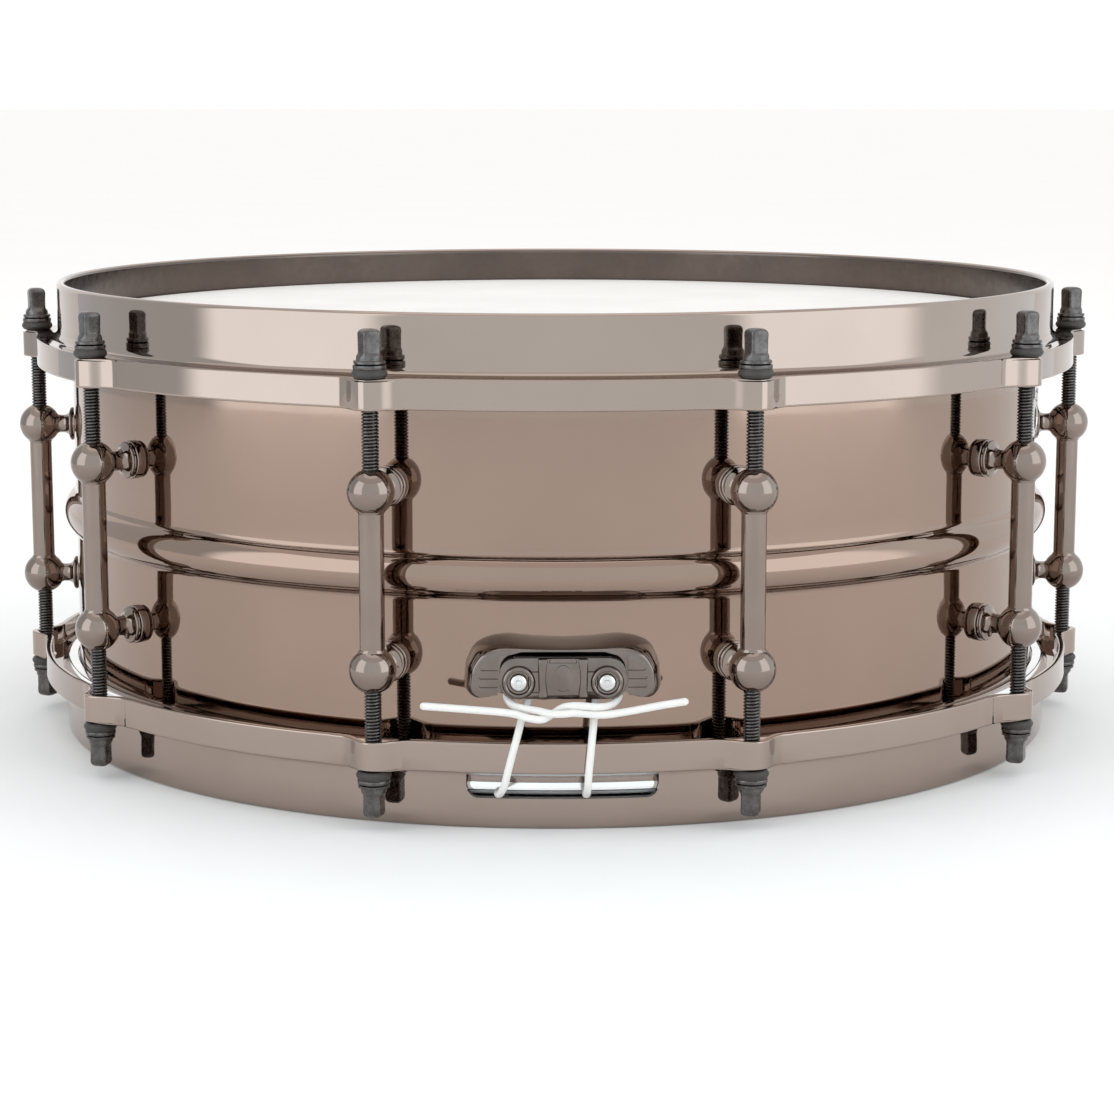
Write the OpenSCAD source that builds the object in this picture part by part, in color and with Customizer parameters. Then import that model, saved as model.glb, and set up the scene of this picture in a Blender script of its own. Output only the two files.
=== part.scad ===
// Snare drum, 14 by 5.5 inch: a beaded metal shell with ten tube lugs, two hoops,
// two heads, a strainer, a butt plate, snare wires, a strap and a tie cord.
// Origin: on the drum's axis, in the plane of the snare-side rim that it rests on.
// +Z points up through the batter head, -Y to the butt plate and +Y to the strainer.

/* [Shell] */
// Outside diameter of the shell
shell_d = 355.6; // [354:0.1:357]
// Depth of the shell from bearing edge to bearing edge
shell_h = 139.7; // [138:0.1:141]
// Thickness of the shell's sheet
shell_t = 1.2; // [1:0.1:1.5]
// Height of the centre bead along the shell
bead_h = 14; // [12:0.5:16]
// How far the bead stands out of the shell
bead_out = 4.2; // [3:0.1:4.4]
// Height of the shell's middle over the resting plane
mid_z = 80; // [79.8:0.1:80.2]

/* [Hoops] */
// Height of the batter rim over the resting plane
top_z = 163.3; // [163:0.1:163.6]
// Height of a hoop from its rim to the free edge of its skirt
hoop_h = 29.5; // [29:0.1:30]
// Distance from the rim down to the web that the rods press on
web_drop = 19.7; // [19.4:0.1:20]
// Thickness of the web
web_t = 3.5; // [3:0.1:3.8]
// Thickness of the rim wall
rim_t = 3; // [2.5:0.1:3.2]
// Clearance between the shell and the rim wall
rim_gap = 2; // [1.8:0.1:2.4]
// Outside radius of the skirt beyond the shell
skirt_out = 12.6; // [12:0.1:13]
// Thickness of the skirt
skirt_t = 2.2; // [1.8:0.1:2.4]
// Width of the snare gates
gate_w = 61; // [56:1:64]
// Height of the snare gates
gate_h = 8.7; // [8:0.1:8.8]

/* [Lugs] */
// Number of lugs around the shell
lug_count = 10; // [10:2:10]
// Distance of the rods beyond the shell
rod_out = 14.95; // [14.8:0.05:15.1]
// Diameter of a lug's balls
ball_d = 15; // [14:0.5:15.5]
// Distance of a ball above or below the shell's middle
ball_z = 28.2; // [27:0.1:29]
// Diameter of a lug's tube
tube_d = 8; // [7.6:0.1:8.4]

/* [Tension rods] */
// Diameter over the rod's thread
rod_d = 5.49; // [5.4:0.01:5.5]
// Distance of a batter rod's end above the shell's middle
rod_end = 15; // [12:1:18]
// Width across the square head
square_w = 6; // [5.8:0.1:6.2]

/* [Heads] */
// Thickness of a drumhead's film
film_t = 0.3; // [0.25:0.05:0.35]
// Radial width of a flesh hoop
flesh_w = 6; // [5:0.5:6.5]
// Height of a flesh hoop
flesh_h = 6.2; // [5:0.1:6.4]

/* [Snares] */
// Number of coiled wires
wire_count = 20; // [16:2:20]
// Diameter over a wire's coil
wire_d = 1.9; // [1.6:0.1:2]
// Distance between neighbouring wires
wire_pitch = 2.1; // [2.05:0.05:2.2]
// Length of the wires between the end plates
wire_len = 300; // [280:5:300]
// Width of the snare strap
strap_w = 16; // [12:1:16]
// Diameter of the snare cord
cord_d = 2.4; // [2.2:0.1:2.4]

/* [Hidden] */
$fn = 96;

// finishes
nickel = [0.33, 0.29, 0.27];
black_steel = [0.12, 0.11, 0.11];
bright = [0.78, 0.78, 0.80];
brass = [0.72, 0.58, 0.33];
nylon = [0.05, 0.05, 0.05];
film_white = [0.95, 0.95, 0.94];
film_clear = [0.85, 0.88, 0.90, 0.6];
cord_white = [0.93, 0.92, 0.90];

// shell and hoops
shell_r = shell_d / 2;
shell_z0 = mid_z - shell_h / 2;
shell_z1 = mid_z + shell_h / 2;
flange_in = 5;
bead_r = (bead_h * bead_h / 4 + bead_out * bead_out) / (2 * bead_out);
rim_r0 = shell_r + rim_gap;
rim_r1 = rim_r0 + rim_t;
skirt_r = shell_r + skirt_out;
web_top = hoop_h - web_drop;
web_z = top_z - web_drop;
fillet_r = 3;
rim_round = 1;
gate_floor = 9.9;
gate_corner = 4;

// lugs and rods
rod_r = shell_r + rod_out;
rod_step = 360 / lug_count;
thread_r = rod_d / 2;
run_gap = 0.05;
rod_hole_r = 3.3;
neck_r = 3.3;
tube_seat = 6;
tube_bore_r = 3.2;
lug_screw_r = 2;
shell_hole_r = 2.6;
post_hole_len = 6.2;
ear_r = 5.25;
ear_half = 9;
ear_wall = 2.2;
ear_step = 0.2;
nylon_t = 2.8;
steel_t = 1.4;
flange_t = 1.4;
flange_r = 5;
flare_t = 2.3;
square_t = 7.4;

// heads
film_gap = 0.1;
film_r = shell_r + film_gap + film_t;
film_lap = 5;

// badge and vent
vent_angle = 72;
vent_z = 116;
vent_r = 4;
badge_w = 40;
badge_h = 19;
badge_t = 0.5;

// butt plate, distances from the axis along -Y
butt_wing_y = 189;
butt_floor_y = 184.6;
butt_clamp_y = 187.3;
butt_face_y = 191;
butt_screw_x = 13.8;
butt_screw_z = 49;
butt_screw_r = 1.8;
butt_head_r = 2.9;
butt_mount_x = 25;
butt_mount_z = 50;

// strainer, distances from the axis along +Y
strain_floor_y = 184;
strain_mouth_y = 193;
strain_face_y = 195.5;
strain_half_w = 17;
channel_half_w = 9.9;
strain_z0 = 33;
strain_z1 = 71;
cover_z0 = 52;
carriage_z0 = 38;
carriage_z1 = 66;
knob_z = 78.5;
knob_r = 5.5;
pivot_z = 62;
pivot_r = 3;
lever_len = 48;
jaw_screw_x = 6;
jaw_screw_z = 45;
jaw_screw_r = 1.6;
side_gap = 0.3;

// snares, under the snare head
wire_z = shell_z0 - film_t - 0.1 - wire_d / 2;
plate_len = 9;
plate_half_w = 22;
plate_t = 1.2;
strap_t = 0.5;

// Strap's middle line: (y, z), from the end plate out to the jaw
STRAP = [[159.5, 8.3], [176, 8.6], [178.5, 9.3], [179.6, 10.4], [182.8, 10.8],
    [191.1, 17], [191.3, 20], [192, 32], [193, 37], [193, 50]];
// Cord's strands: from the clamp down over the skirt and in through the gate
STRAND_LEFT = [[-10.5, -186, 54], [-10.5, -186, 50], [-10.6, -186, 46], [-11, -186.5, 42.5],
    [-12.8, -189, 37.5], [-14.6, -191.3, 31], [-16, -192, 26], [-17.4, -192, 20.5],
    [-18.4, -190.9, 16.2], [-19.6, -186.8, 13], [-20.4, -182.6, 11.5],
    [-20.4, -178.85, 11.3], [-20, -176, 9.4], [-19, -171.5, 8.1], [-17.5, -163.2, 7.8]];
STRAND_RIGHT = [[10.4, -186, 54], [10.4, -186, 50], [10.3, -186, 46], [10.2, -186.5, 42.5],
    [9.7, -189.2, 37.5], [9, -191.6, 31], [8.5, -192.5, 26], [8, -192.5, 20.5],
    [7.8, -191.4, 16.2], [7.6, -187.2, 13], [7.4, -183, 11.5],
    [7.4, -180, 11.3], [7.6, -176, 9.4], [8.2, -171.5, 8.1], [9.5, -163.2, 7.8]];
// Cord's tails: from beside each boss, through the half knot, to the free ends
TAIL_RIGHT = [[-17.6, -186, 54], [-17.8, -185.9, 50], [-17.8, -185.9, 46.5], [-17.4, -186.5, 43.3],
    [-15.2, -189.6, 41.6], [-11.4, -192, 41.1], [-7.6, -193.6, 40.8], [-4, -195.4, 40.4],
    [-0.4, -196, 40.4], [2.8, -194.8, 40.4], [6.6, -193, 39.8], [12, -192.6, 39.3],
    [18, -192.5, 40], [24, -192.3, 41], [31, -192.2, 42.3], [39, -192, 43.5]];
TAIL_LEFT = [[17.6, -186, 54], [17.8, -185.9, 50], [17.8, -185.9, 46.5], [17.3, -186.5, 43.4],
    [14.9, -189.8, 41.8], [11, -192.3, 41.7], [7, -193.2, 42.2], [3.4, -193.4, 42.4],
    [0, -193, 41.8], [-3, -193, 40], [-6.4, -194.6, 38.4], [-10.6, -194.8, 38.8], [-15, -193.4, 39.8],
    [-20, -192.8, 40.4], [-28, -192.4, 41], [-36, -192.2, 41.6], [-44.5, -192, 42.2]];

// ---- helpers ----

// Angle of a lug from the front, in degrees
function lug_angle(i) = rod_step * (i + 0.5);

// Places children at a rod, with +X pointing away from the drum's axis
module at_rod(i) {
    rotate([0, 0, lug_angle(i) - 90]) translate([rod_r, 0, 0]) children();
}

// Turns children from standing along +Z to pointing away from the axis at an angle from the front
module outward(angle, z) {
    rotate([0, 0, angle - 90]) translate([0, 0, z]) rotate([0, 90, 0]) children();
}

// Flips children over the shell's middle, from the batter side to the snare side
module snare_side() {
    translate([0, 0, 2 * mid_z]) mirror([0, 0, 1]) children();
}

function unit(v) = v / norm(v);
function along(p, i) = unit(p[min(i + 1, len(p) - 1)] - p[max(i - 1, 0)]);

// Round tube along a route of points; side is never parallel to the route
module tube(route, d, side) {
    sides = 8;
    rings = len(route);
    points = [for (i = [0:rings - 1])
        let (t = along(route, i), u = unit(cross(t, side)), v = cross(t, u))
        for (k = [0:sides - 1]) let (a = 360 * k / sides) route[i] + d / 2 * (cos(a) * u + sin(a) * v)];
    walls = [for (i = [0:rings - 2]) for (k = [0:sides - 1])
        let (a = i * sides + k, b = i * sides + (k + 1) % sides)
        each [[a, b + sides, b], [a, a + sides, b + sides]]];
    caps = [[for (k = [0:sides - 1]) k], [for (k = [sides - 1:-1:0]) (rings - 1) * sides + k]];
    polyhedron(points, concat(walls, caps));
}

// ---- shell ----

module shell_profile() {
    difference() {
        union() {
            translate([shell_r - shell_t, shell_z0]) square([shell_t, shell_h]);
            intersection() {
                translate([shell_r + bead_out - bead_r, mid_z]) circle(bead_r);
                translate([shell_r - shell_t, mid_z - bead_h]) square([3 * bead_out, 2 * bead_h]);
            }
            edge_flange();
            translate([0, 2 * mid_z]) mirror([0, 1]) edge_flange();
        }
        translate([shell_r + bead_out - bead_r, mid_z]) circle(bead_r - shell_t);
    }
}

// Bearing edge: the sheet turned inwards at 45 degrees
module edge_flange() {
    drop = shell_t * sqrt(2);
    polygon([[shell_r, shell_z1], [shell_r - flange_in, shell_z1 - flange_in],
        [shell_r - flange_in, shell_z1 - flange_in - drop], [shell_r, shell_z1 - drop]]);
}

// Short drill through the shell's sheet only
module shell_hole(r) { translate([0, 0, shell_r - 9]) cylinder(r = r, h = 14); }

module shell() {
    color(nickel) difference() {
        rotate_extrude($fn = 180) shell_profile();
        for (i = [0:lug_count - 1]) for (z = [mid_z - ball_z, mid_z + ball_z])
            outward(lug_angle(i), z) shell_hole(shell_hole_r);
        outward(vent_angle, vent_z) shell_hole(vent_r + 1);
        for (x = [-butt_mount_x, butt_mount_x])
            translate([x, 0, butt_mount_z]) rotate([90, 0, 0]) shell_hole(shell_hole_r);
        for (z = strainer_screw_z)
            outward(180, z) shell_hole(shell_hole_r);
    }
}

module badge() {
    color(bright) difference() {
        intersection() {
            difference() {
                cylinder(r = shell_r + badge_t, h = 2 * mid_z);
                cylinder(r = shell_r, h = 2 * mid_z);
            }
            outward(vent_angle, vent_z) translate([-badge_h / 2, -badge_w / 2, 0])
                cube([badge_h, badge_w, shell_r + 5]);
        }
        outward(vent_angle, vent_z) cylinder(r = vent_r + 1, h = shell_r + 5);
    }
}

module vent_grommet() {
    color(brass) outward(vent_angle, vent_z) difference() {
        union() {
            translate([0, 0, shell_r - shell_t - 1.2]) cylinder(r = vent_r + 0.95, h = shell_t + 2);
            translate([0, 0, shell_r + badge_t]) cylinder(r = vent_r + 3, h = 0.9);
            translate([0, 0, shell_r - shell_t - 1.2]) cylinder(r = vent_r + 2.5, h = 0.8);
        }
        cylinder(r = vent_r, h = shell_r + 5);
    }
}

// ---- lugs ----

// One ball and its post, on the axis of the ball, pointing away from the shell
module post(z, tube_side) {
    outward(0, 0) difference() {
        union() {
            translate([0, 0, shell_r - 1]) cylinder(r = 6.5, h = 2.8);
            translate([0, 0, shell_r + 1.5]) cylinder(r = 5.6, h = 1.2);
            translate([0, 0, shell_r + 2.4]) cylinder(r = 6.2, h = 1.4);
            translate([0, 0, shell_r + 3.7]) cylinder(r1 = 4.6, r2 = neck_r, h = 1.2);
            translate([0, 0, shell_r + 4.5]) cylinder(r = neck_r, h = 6);
            translate([0, 0, rod_r]) sphere(d = ball_d);
        }
        translate([0, 0, shell_r - 2]) cylinder(r = lug_screw_r + run_gap, h = 2 + post_hole_len);
        translate([z, 0, 0]) rotate([0, 90, 0]) translate([0, 0, -2 * mid_z]) cylinder(r = shell_r, h = 4 * mid_z, $fn = 180);
        translate([0, 0, rod_r]) rotate([0, 90, 0]) translate([0, 0, -ball_d]) cylinder(r = thread_r + run_gap, h = 2 * ball_d);
        translate([-tube_side * tube_seat, 0, rod_r]) rotate([0, -90 * tube_side, 0]) cylinder(d = tube_d + 0.04, h = ball_d);
    }
}

module lug_posts(z, tube_side) {
    color(nickel) for (i = [0:lug_count - 1])
        rotate([0, 0, lug_angle(i)]) translate([0, 0, z]) post(z, tube_side);
}

module lug_posts_upper() { lug_posts(mid_z + ball_z, -1); }

module lug_posts_lower() { lug_posts(mid_z - ball_z, 1); }

module lug_tubes() {
    length = 2 * (ball_z - tube_seat);
    color(nickel) for (i = [0:lug_count - 1])
        at_rod(i) translate([0, 0, mid_z - length / 2]) difference() {
            cylinder(d = tube_d, h = length);
            translate([0, 0, -1]) cylinder(r = tube_bore_r, h = length + 2);
        }
}

// Screw with a domed head, from inside the shell; length counts from the washer
module inner_screw(length, head_r = 4) {
    seat = shell_r - shell_t - 1.1;
    translate([0, 0, seat]) cylinder(r = lug_screw_r, h = length);
    translate([0, 0, seat - 2.4]) cylinder(r1 = head_r - 1, r2 = head_r, h = 1);
    translate([0, 0, seat - 1.4]) cylinder(r = head_r, h = 1.4);
}

module inner_washer() {
    difference() {
        translate([0, 0, shell_r - shell_t - 1.1]) cylinder(r = 5.5, h = 1);
        cylinder(r = lug_screw_r + 0.2, h = shell_r);
    }
}

module lug_screws() {
    color(black_steel) for (i = [0:lug_count - 1]) for (z = [mid_z - ball_z, mid_z + ball_z])
        outward(lug_angle(i), z) inner_screw(8);
}

module lug_washers() {
    color(bright) for (i = [0:lug_count - 1]) for (z = [mid_z - ball_z, mid_z + ball_z])
        outward(lug_angle(i), z) inner_washer();
}

// ---- heads ----

module head(edge_z, flesh_z) {
    rotate_extrude($fn = 180) {
        translate([0, edge_z]) square([film_r, film_t]);
        translate([film_r - film_t, flesh_z - film_lap]) square([film_t, edge_z - flesh_z + film_lap]);
    }
}

module flesh_hoop(flesh_z) {
    rotate_extrude($fn = 180) translate([film_r, flesh_z - flesh_h]) square([flesh_w, flesh_h]);
}

batter_flesh_z = web_z - web_t;
snare_flesh_z = 2 * mid_z - web_drop - web_t;

module batter_head() { color(film_white) head(shell_z1, batter_flesh_z); }

module batter_flesh_hoop() { color(bright) flesh_hoop(batter_flesh_z); }

module snare_head() { color(film_clear) snare_side() head(shell_z1, snare_flesh_z); }

module snare_flesh_hoop() { color(bright) snare_side() flesh_hoop(snare_flesh_z); }

// ---- hoops, drawn with the rim up and the skirt's edge at zero ----

module hoop_profile() {
    translate([rim_r0, web_top - web_t]) square([rim_t, web_drop + web_t - rim_round]);
    translate([rim_r0 + rim_round, web_top]) square([rim_t - 2 * rim_round, web_drop]);
    for (x = [rim_r0 + rim_round, rim_r1 - rim_round])
        translate([x, hoop_h - rim_round]) circle(rim_round, $fn = 32);
    translate([rim_r0, web_top - web_t]) square([skirt_r - rim_r0, web_t]);
    translate([skirt_r - skirt_t, 0]) square([skirt_t, web_top]);
    difference() {
        translate([rim_r1 - rim_t / 2, web_top - rim_t / 2]) square(fillet_r + rim_t / 2);
        translate([rim_r1 + fillet_r, web_top + fillet_r]) circle(fillet_r, $fn = 48);
    }
}

// Outline of an ear around its rod, drawn in by a wall's thickness
module ear_outline(wall) {
    circle(ear_r - wall);
    polygon([[skirt_r - skirt_t / 2 - rod_r, -ear_half + wall], [-1.8, -ear_half + wall + 0.6],
        [0.8, -ear_r + wall + 0.15], [0.8, ear_r - wall - 0.15],
        [-1.8, ear_half - wall - 0.6], [skirt_r - skirt_t / 2 - rod_r, ear_half - wall]]);
}

module gate() {
    drop = hoop_h - gate_floor - gate_h;
    deep = 24;
    translate([0, -rim_r1 + 10, drop]) rotate([90, 0, 0]) linear_extrude(deep) {
        translate([-gate_w / 2, 0]) square([gate_w, gate_h - gate_corner]);
        translate([gate_corner - gate_w / 2, 0]) square([gate_w - 2 * gate_corner, gate_h]);
        for (s = [-1, 1]) translate([s * (gate_w / 2 - gate_corner), gate_h - gate_corner]) circle(gate_corner);
    }
}

module hoop(gates) {
    pocket_h = web_top - web_t - ear_step;
    difference() {
        union() {
            rotate_extrude($fn = 180) hoop_profile();
            for (i = [0:lug_count - 1]) at_rod(i)
                translate([0, 0, ear_step]) linear_extrude(web_top - 2 * ear_step) ear_outline(0);
        }
        for (i = [0:lug_count - 1]) at_rod(i) {
            translate([0, 0, -1]) linear_extrude(pocket_h + 1) {
                ear_outline(ear_wall);
                translate([-7, -ear_half + ear_wall]) square([5, 2 * (ear_half - ear_wall)]);
            }
            cylinder(r = rod_hole_r, h = hoop_h);
        }
        if (gates) for (a = [0, 180]) rotate([0, 0, a]) gate();
    }
}

module batter_hoop() { color(nickel) translate([0, 0, top_z - hoop_h]) hoop(false); }

module snare_hoop() { color(nickel) translate([0, 0, hoop_h]) mirror([0, 0, 1]) hoop(true); }

// ---- tension rods and their washers, drawn on a web at zero ----

module washer(z, r, t) {
    translate([0, 0, z]) difference() {
        cylinder(r = r, h = t);
        translate([0, 0, -1]) cylinder(r = thread_r + 0.15, h = t + 2);
    }
}

module nylon_washers() { for (i = [0:lug_count - 1]) at_rod(i) washer(0, 5.6, nylon_t); }

module steel_washers() { for (i = [0:lug_count - 1]) at_rod(i) washer(nylon_t, 5.2, steel_t); }

module rod(i, shank) {
    seat = nylon_t + steel_t;
    at_rod(i) {
        translate([0, 0, seat - shank]) cylinder(r = thread_r, h = shank);
        translate([0, 0, seat]) cylinder(r = flange_r, h = flange_t);
        translate([0, 0, seat + flange_t]) cylinder(r1 = 4.6, r2 = square_w / 2, h = flare_t);
        intersection() {
            translate([-square_w / 2, -square_w / 2, seat + flange_t]) cube([square_w, square_w, flare_t + square_t]);
            translate([0, 0, seat + flange_t]) cylinder(r = square_w * 0.64, h = flare_t + square_t);
            translate([0, 0, seat + flange_t + flare_t + square_t - 5]) sphere(5);
        }
        intersection() {
            translate([-square_w / 2, -square_w / 2, seat + flange_t]) cube([square_w, square_w, flare_t + square_t - 4]);
            translate([0, 0, seat + flange_t]) cylinder(r = square_w * 0.64, h = flare_t + square_t);
        }
    }
}

rod_shank = web_z + nylon_t + steel_t - mid_z - rod_end;
snare_rod_shank = mid_z - web_drop + nylon_t + steel_t - rod_end;

module batter_side(height = web_z) { translate([0, 0, height]) children(); }

module under_side() { translate([0, 0, web_drop]) mirror([0, 0, 1]) children(); }

module batter_washers_nylon() { color(nylon) batter_side() nylon_washers(); }

module batter_washers_steel() { color(black_steel) batter_side() steel_washers(); }

module snare_washers_nylon() { color(nylon) under_side() nylon_washers(); }

module snare_washers_steel() { color(black_steel) under_side() steel_washers(); }

module batter_rod(i) { color(black_steel) batter_side() rod(i, rod_shank); }

module snare_rod(i) { color(black_steel) under_side() rod(i, snare_rod_shank); }

// ---- butt plate, extruded towards -Y ----

module butt_plan(y0, y1) {
    translate([0, -y0, 0]) rotate([90, 0, 0]) linear_extrude(y1 - y0) children();
}

module wing_outline() {
    polygon([[-28.6, 43.2], [-31.2, 46], [-30.4, 54], [-27, 59.6], [-20, 61.8], [-10, 59.6], [0, 58.8],
        [10, 59.6], [20, 61.8], [27, 59.6], [30.4, 54], [31.2, 46], [28.6, 43.2], [18, 45], [-18, 45]]);
}

module wing_face_outline() {
    polygon([[-26.4, 43.6], [-28.4, 46], [-27.6, 53], [-24.6, 57], [-19, 58], [19, 58], [24.6, 57],
        [27.6, 53], [28.4, 46], [26.4, 43.6], [18, 45], [-18, 45]]);
}

module butt_base() {
    color(nickel) difference() {
        union() {
            butt_plan(170, butt_floor_y) wing_outline();
            butt_plan(butt_floor_y - 1, butt_wing_y) wing_face_outline();
        }
        cylinder(r = shell_r, h = mid_z, $fn = 180);
        butt_plan(butt_floor_y, butt_wing_y + 1) translate([-20.5, 40]) square([41, 17.6]);
        for (s = [-1, 1]) {
            butt_plan(butt_floor_y - 5, butt_wing_y) translate([s * butt_screw_x, butt_screw_z])
                circle(butt_screw_r + run_gap);
            butt_plan(shell_r - 6, butt_floor_y + 2) translate([s * butt_mount_x, butt_mount_z])
                circle(lug_screw_r + run_gap);
        }
    }
}

module butt_mount_screws() {
    color(black_steel) for (s = [-1, 1]) translate([s * butt_mount_x, 0, butt_mount_z]) rotate([90, 0, 0]) {
        translate([0, 0, 171]) cylinder(r = lug_screw_r, h = 14.5);
        translate([0, 0, 169.5]) cylinder(r = 4, h = 1.8);
    }
}

module butt_clamp() {
    color(nickel) difference() {
        union() {
            butt_plan(butt_clamp_y, butt_face_y - 1) translate([-butt_screw_x, butt_screw_z - 4])
                square([2 * butt_screw_x, 8]);
            butt_plan(butt_clamp_y, butt_face_y) for (s = [-1, 1])
                translate([s * butt_screw_x, butt_screw_z]) circle(5.3);
            butt_plan(butt_clamp_y, butt_face_y + 1) translate([-8, 44.2]) square([16, 12.8]);
        }
        for (s = [-1, 1]) {
            butt_plan(butt_clamp_y + 2, butt_face_y + 1) translate([s * butt_screw_x, butt_screw_z]) circle(3.6);
            butt_plan(butt_clamp_y - 1, butt_face_y) translate([s * butt_screw_x, butt_screw_z])
                circle(butt_screw_r + 0.1);
        }
    }
}

module butt_screw(s) {
    seat = butt_clamp_y + 2;
    color(bright) translate([s * butt_screw_x, 0, butt_screw_z]) rotate([90, 0, 0]) {
        translate([0, 0, butt_floor_y - 4]) cylinder(r = butt_screw_r, h = seat - butt_floor_y + 4);
        translate([0, 0, seat]) cylinder(r = butt_head_r, h = 1.8);
        translate([0, 0, seat + 1.8]) cylinder(r1 = butt_head_r, r2 = butt_head_r - 0.9, h = 1);
    }
}

module butt_screw_left() { butt_screw(-1); }

module butt_screw_right() { butt_screw(1); }

// ---- strainer, extruded towards +Y ----

strainer_screw_z = [38, 54];

module strain_box(half_w, y0, y1, z0, z1) {
    translate([-half_w, y0, z0]) cube([2 * half_w, y1 - y0, z1 - z0]);
}

// Disc or pin that points along +Y
module strain_pin(x, z, y0, y1, r) {
    translate([x, y0, z]) rotate([-90, 0, 0]) cylinder(r = r, h = y1 - y0);
}

module strainer_base() {
    color(nickel) difference() {
        union() {
            strain_box(strain_half_w, 172, strain_mouth_y, strain_z0, strain_z1);
            strain_box(strain_half_w, strain_mouth_y - 1, strain_face_y, cover_z0, strain_z1);
        }
        cylinder(r = shell_r, h = mid_z, $fn = 180);
        strain_box(channel_half_w, strain_floor_y, strain_mouth_y, strain_z0 - 1, strain_z1 + 1);
        strain_pin(0, pivot_z, strain_mouth_y - 1, strain_face_y + 1, pivot_r);
        for (z = strainer_screw_z) strain_pin(0, z, shell_r - 2, strain_floor_y - 0.8, lug_screw_r + run_gap);
    }
}

module strainer_mount_screws() {
    color(black_steel) for (z = strainer_screw_z) {
        strain_pin(0, z, shell_r - shell_t - 1, strain_floor_y - 1, lug_screw_r);
        strain_pin(0, z, shell_r - shell_t - 2.4, shell_r - shell_t - 0.3, 4);
    }
}

module strainer_pivot() {
    color(bright) {
        strain_pin(0, pivot_z, strain_mouth_y, 200, pivot_r);
        strain_pin(0, pivot_z, 199.4, 200.8, 4.6);
    }
}

module strainer_lever() {
    y0 = strain_face_y + side_gap;
    y1 = 199.2;
    color(nickel) difference() {
        union() {
            strain_pin(0, pivot_z, y0, y1, 9);
            translate([0, y1, 0]) rotate([90, 0, 0]) linear_extrude(y1 - y0 - 0.6)
                polygon([[-8, pivot_z], [8, pivot_z], [5.5, pivot_z + lever_len], [-5.5, pivot_z + lever_len]]);
            strain_pin(0, pivot_z + lever_len, y0 + 0.6, y1, 5.5);
        }
        strain_pin(0, pivot_z, y0 - 1, y1 + 1, pivot_r + run_gap);
    }
}

module strainer_carriage() {
    face = strain_mouth_y - side_gap;
    mid_y = (strain_floor_y + strain_mouth_y) / 2;
    color(nickel) difference() {
        strain_box(channel_half_w - side_gap, strain_floor_y + side_gap, face, carriage_z0, carriage_z1);
        translate([0, mid_y, carriage_z1 - 12]) cylinder(r = 2 + run_gap, h = 13);
        for (s = [-1, 1]) strain_pin(s * jaw_screw_x, jaw_screw_z, face - 5, face + 1, jaw_screw_r + run_gap);
    }
}

module strainer_knob() {
    mid_y = (strain_floor_y + strain_mouth_y) / 2;
    color(nickel) translate([0, mid_y, 0]) {
        translate([0, 0, carriage_z1 - 11]) cylinder(r = 2, h = knob_z - carriage_z1 + 12);
        translate([0, 0, knob_z]) cylinder(r = knob_r, h = 6.5);
        translate([0, 0, knob_z + 6.5]) cylinder(r1 = knob_r, r2 = knob_r - 1, h = 1);
    }
}

jaw_y0 = strain_mouth_y + side_gap;
jaw_y1 = jaw_y0 + 3;

module strainer_jaw() {
    color(nickel) difference() {
        strain_box(9.4, jaw_y0, jaw_y1, 39, 50.5);
        for (s = [-1, 1]) strain_pin(s * jaw_screw_x, jaw_screw_z, jaw_y0 - 1, jaw_y1 + 1, jaw_screw_r + 0.1);
    }
}

module jaw_screw(s) {
    color(black_steel) {
        strain_pin(s * jaw_screw_x, jaw_screw_z, strain_mouth_y - 4.5, jaw_y1, jaw_screw_r);
        strain_pin(s * jaw_screw_x, jaw_screw_z, jaw_y1, jaw_y1 + 2.2, 2.7);
    }
}

module strainer_jaw_screw_left() { jaw_screw(-1); }

module strainer_jaw_screw_right() { jaw_screw(1); }

// ---- snares ----

module snare_wires() {
    color(bright) for (k = [0:wire_count - 1])
        translate([(k - (wire_count - 1) / 2) * wire_pitch, wire_len / 2, wire_z]) rotate([90, 0, 0])
            cylinder(d = wire_d, h = wire_len, $fn = 16);
}

module snare_plate() {
    color(brass) difference() {
        translate([-plate_half_w, wire_len / 2, wire_z - plate_t / 2]) cube([2 * plate_half_w, plate_len, plate_t]);
        for (x = [-17, -6, 6, 17]) translate([x, wire_len / 2 + 5.5, 0]) cylinder(r = 1.4, h = wire_z + 5);
    }
}

module snare_plate_strainer() { snare_plate(); }

module snare_plate_butt() { rotate([0, 0, 180]) snare_plate(); }

// Flat strap: its middle line thickened into one outline
function strap_side(p, i) = let (t = along(p, i)) [-t[1], t[0]] * strap_t / 2;

module snare_strap() {
    n = len(STRAP);
    outline = concat([for (i = [0:n - 1]) STRAP[i] + strap_side(STRAP, i)],
        [for (i = [n - 1:-1:0]) STRAP[i] - strap_side(STRAP, i)]);
    color(film_clear) difference() {
        rotate([90, 0, 90]) translate([0, 0, -strap_w / 2]) linear_extrude(strap_w) polygon(outline);
        for (s = [-1, 1]) strain_pin(s * jaw_screw_x, jaw_screw_z, strain_mouth_y - 2, jaw_y1, jaw_screw_r + 0.15);
    }
}

module snare_cord() {
    color(cord_white) {
        tube(STRAND_LEFT, cord_d, [1, 0, 0]);
        tube(STRAND_RIGHT, cord_d, [1, 0, 0]);
    }
}

module cord_tail_left() { color(cord_white) tube(TAIL_LEFT, cord_d, [0, 1, 0]); }

module cord_tail_right() { color(cord_white) tube(TAIL_RIGHT, cord_d, [0, 1, 0]); }

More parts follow.
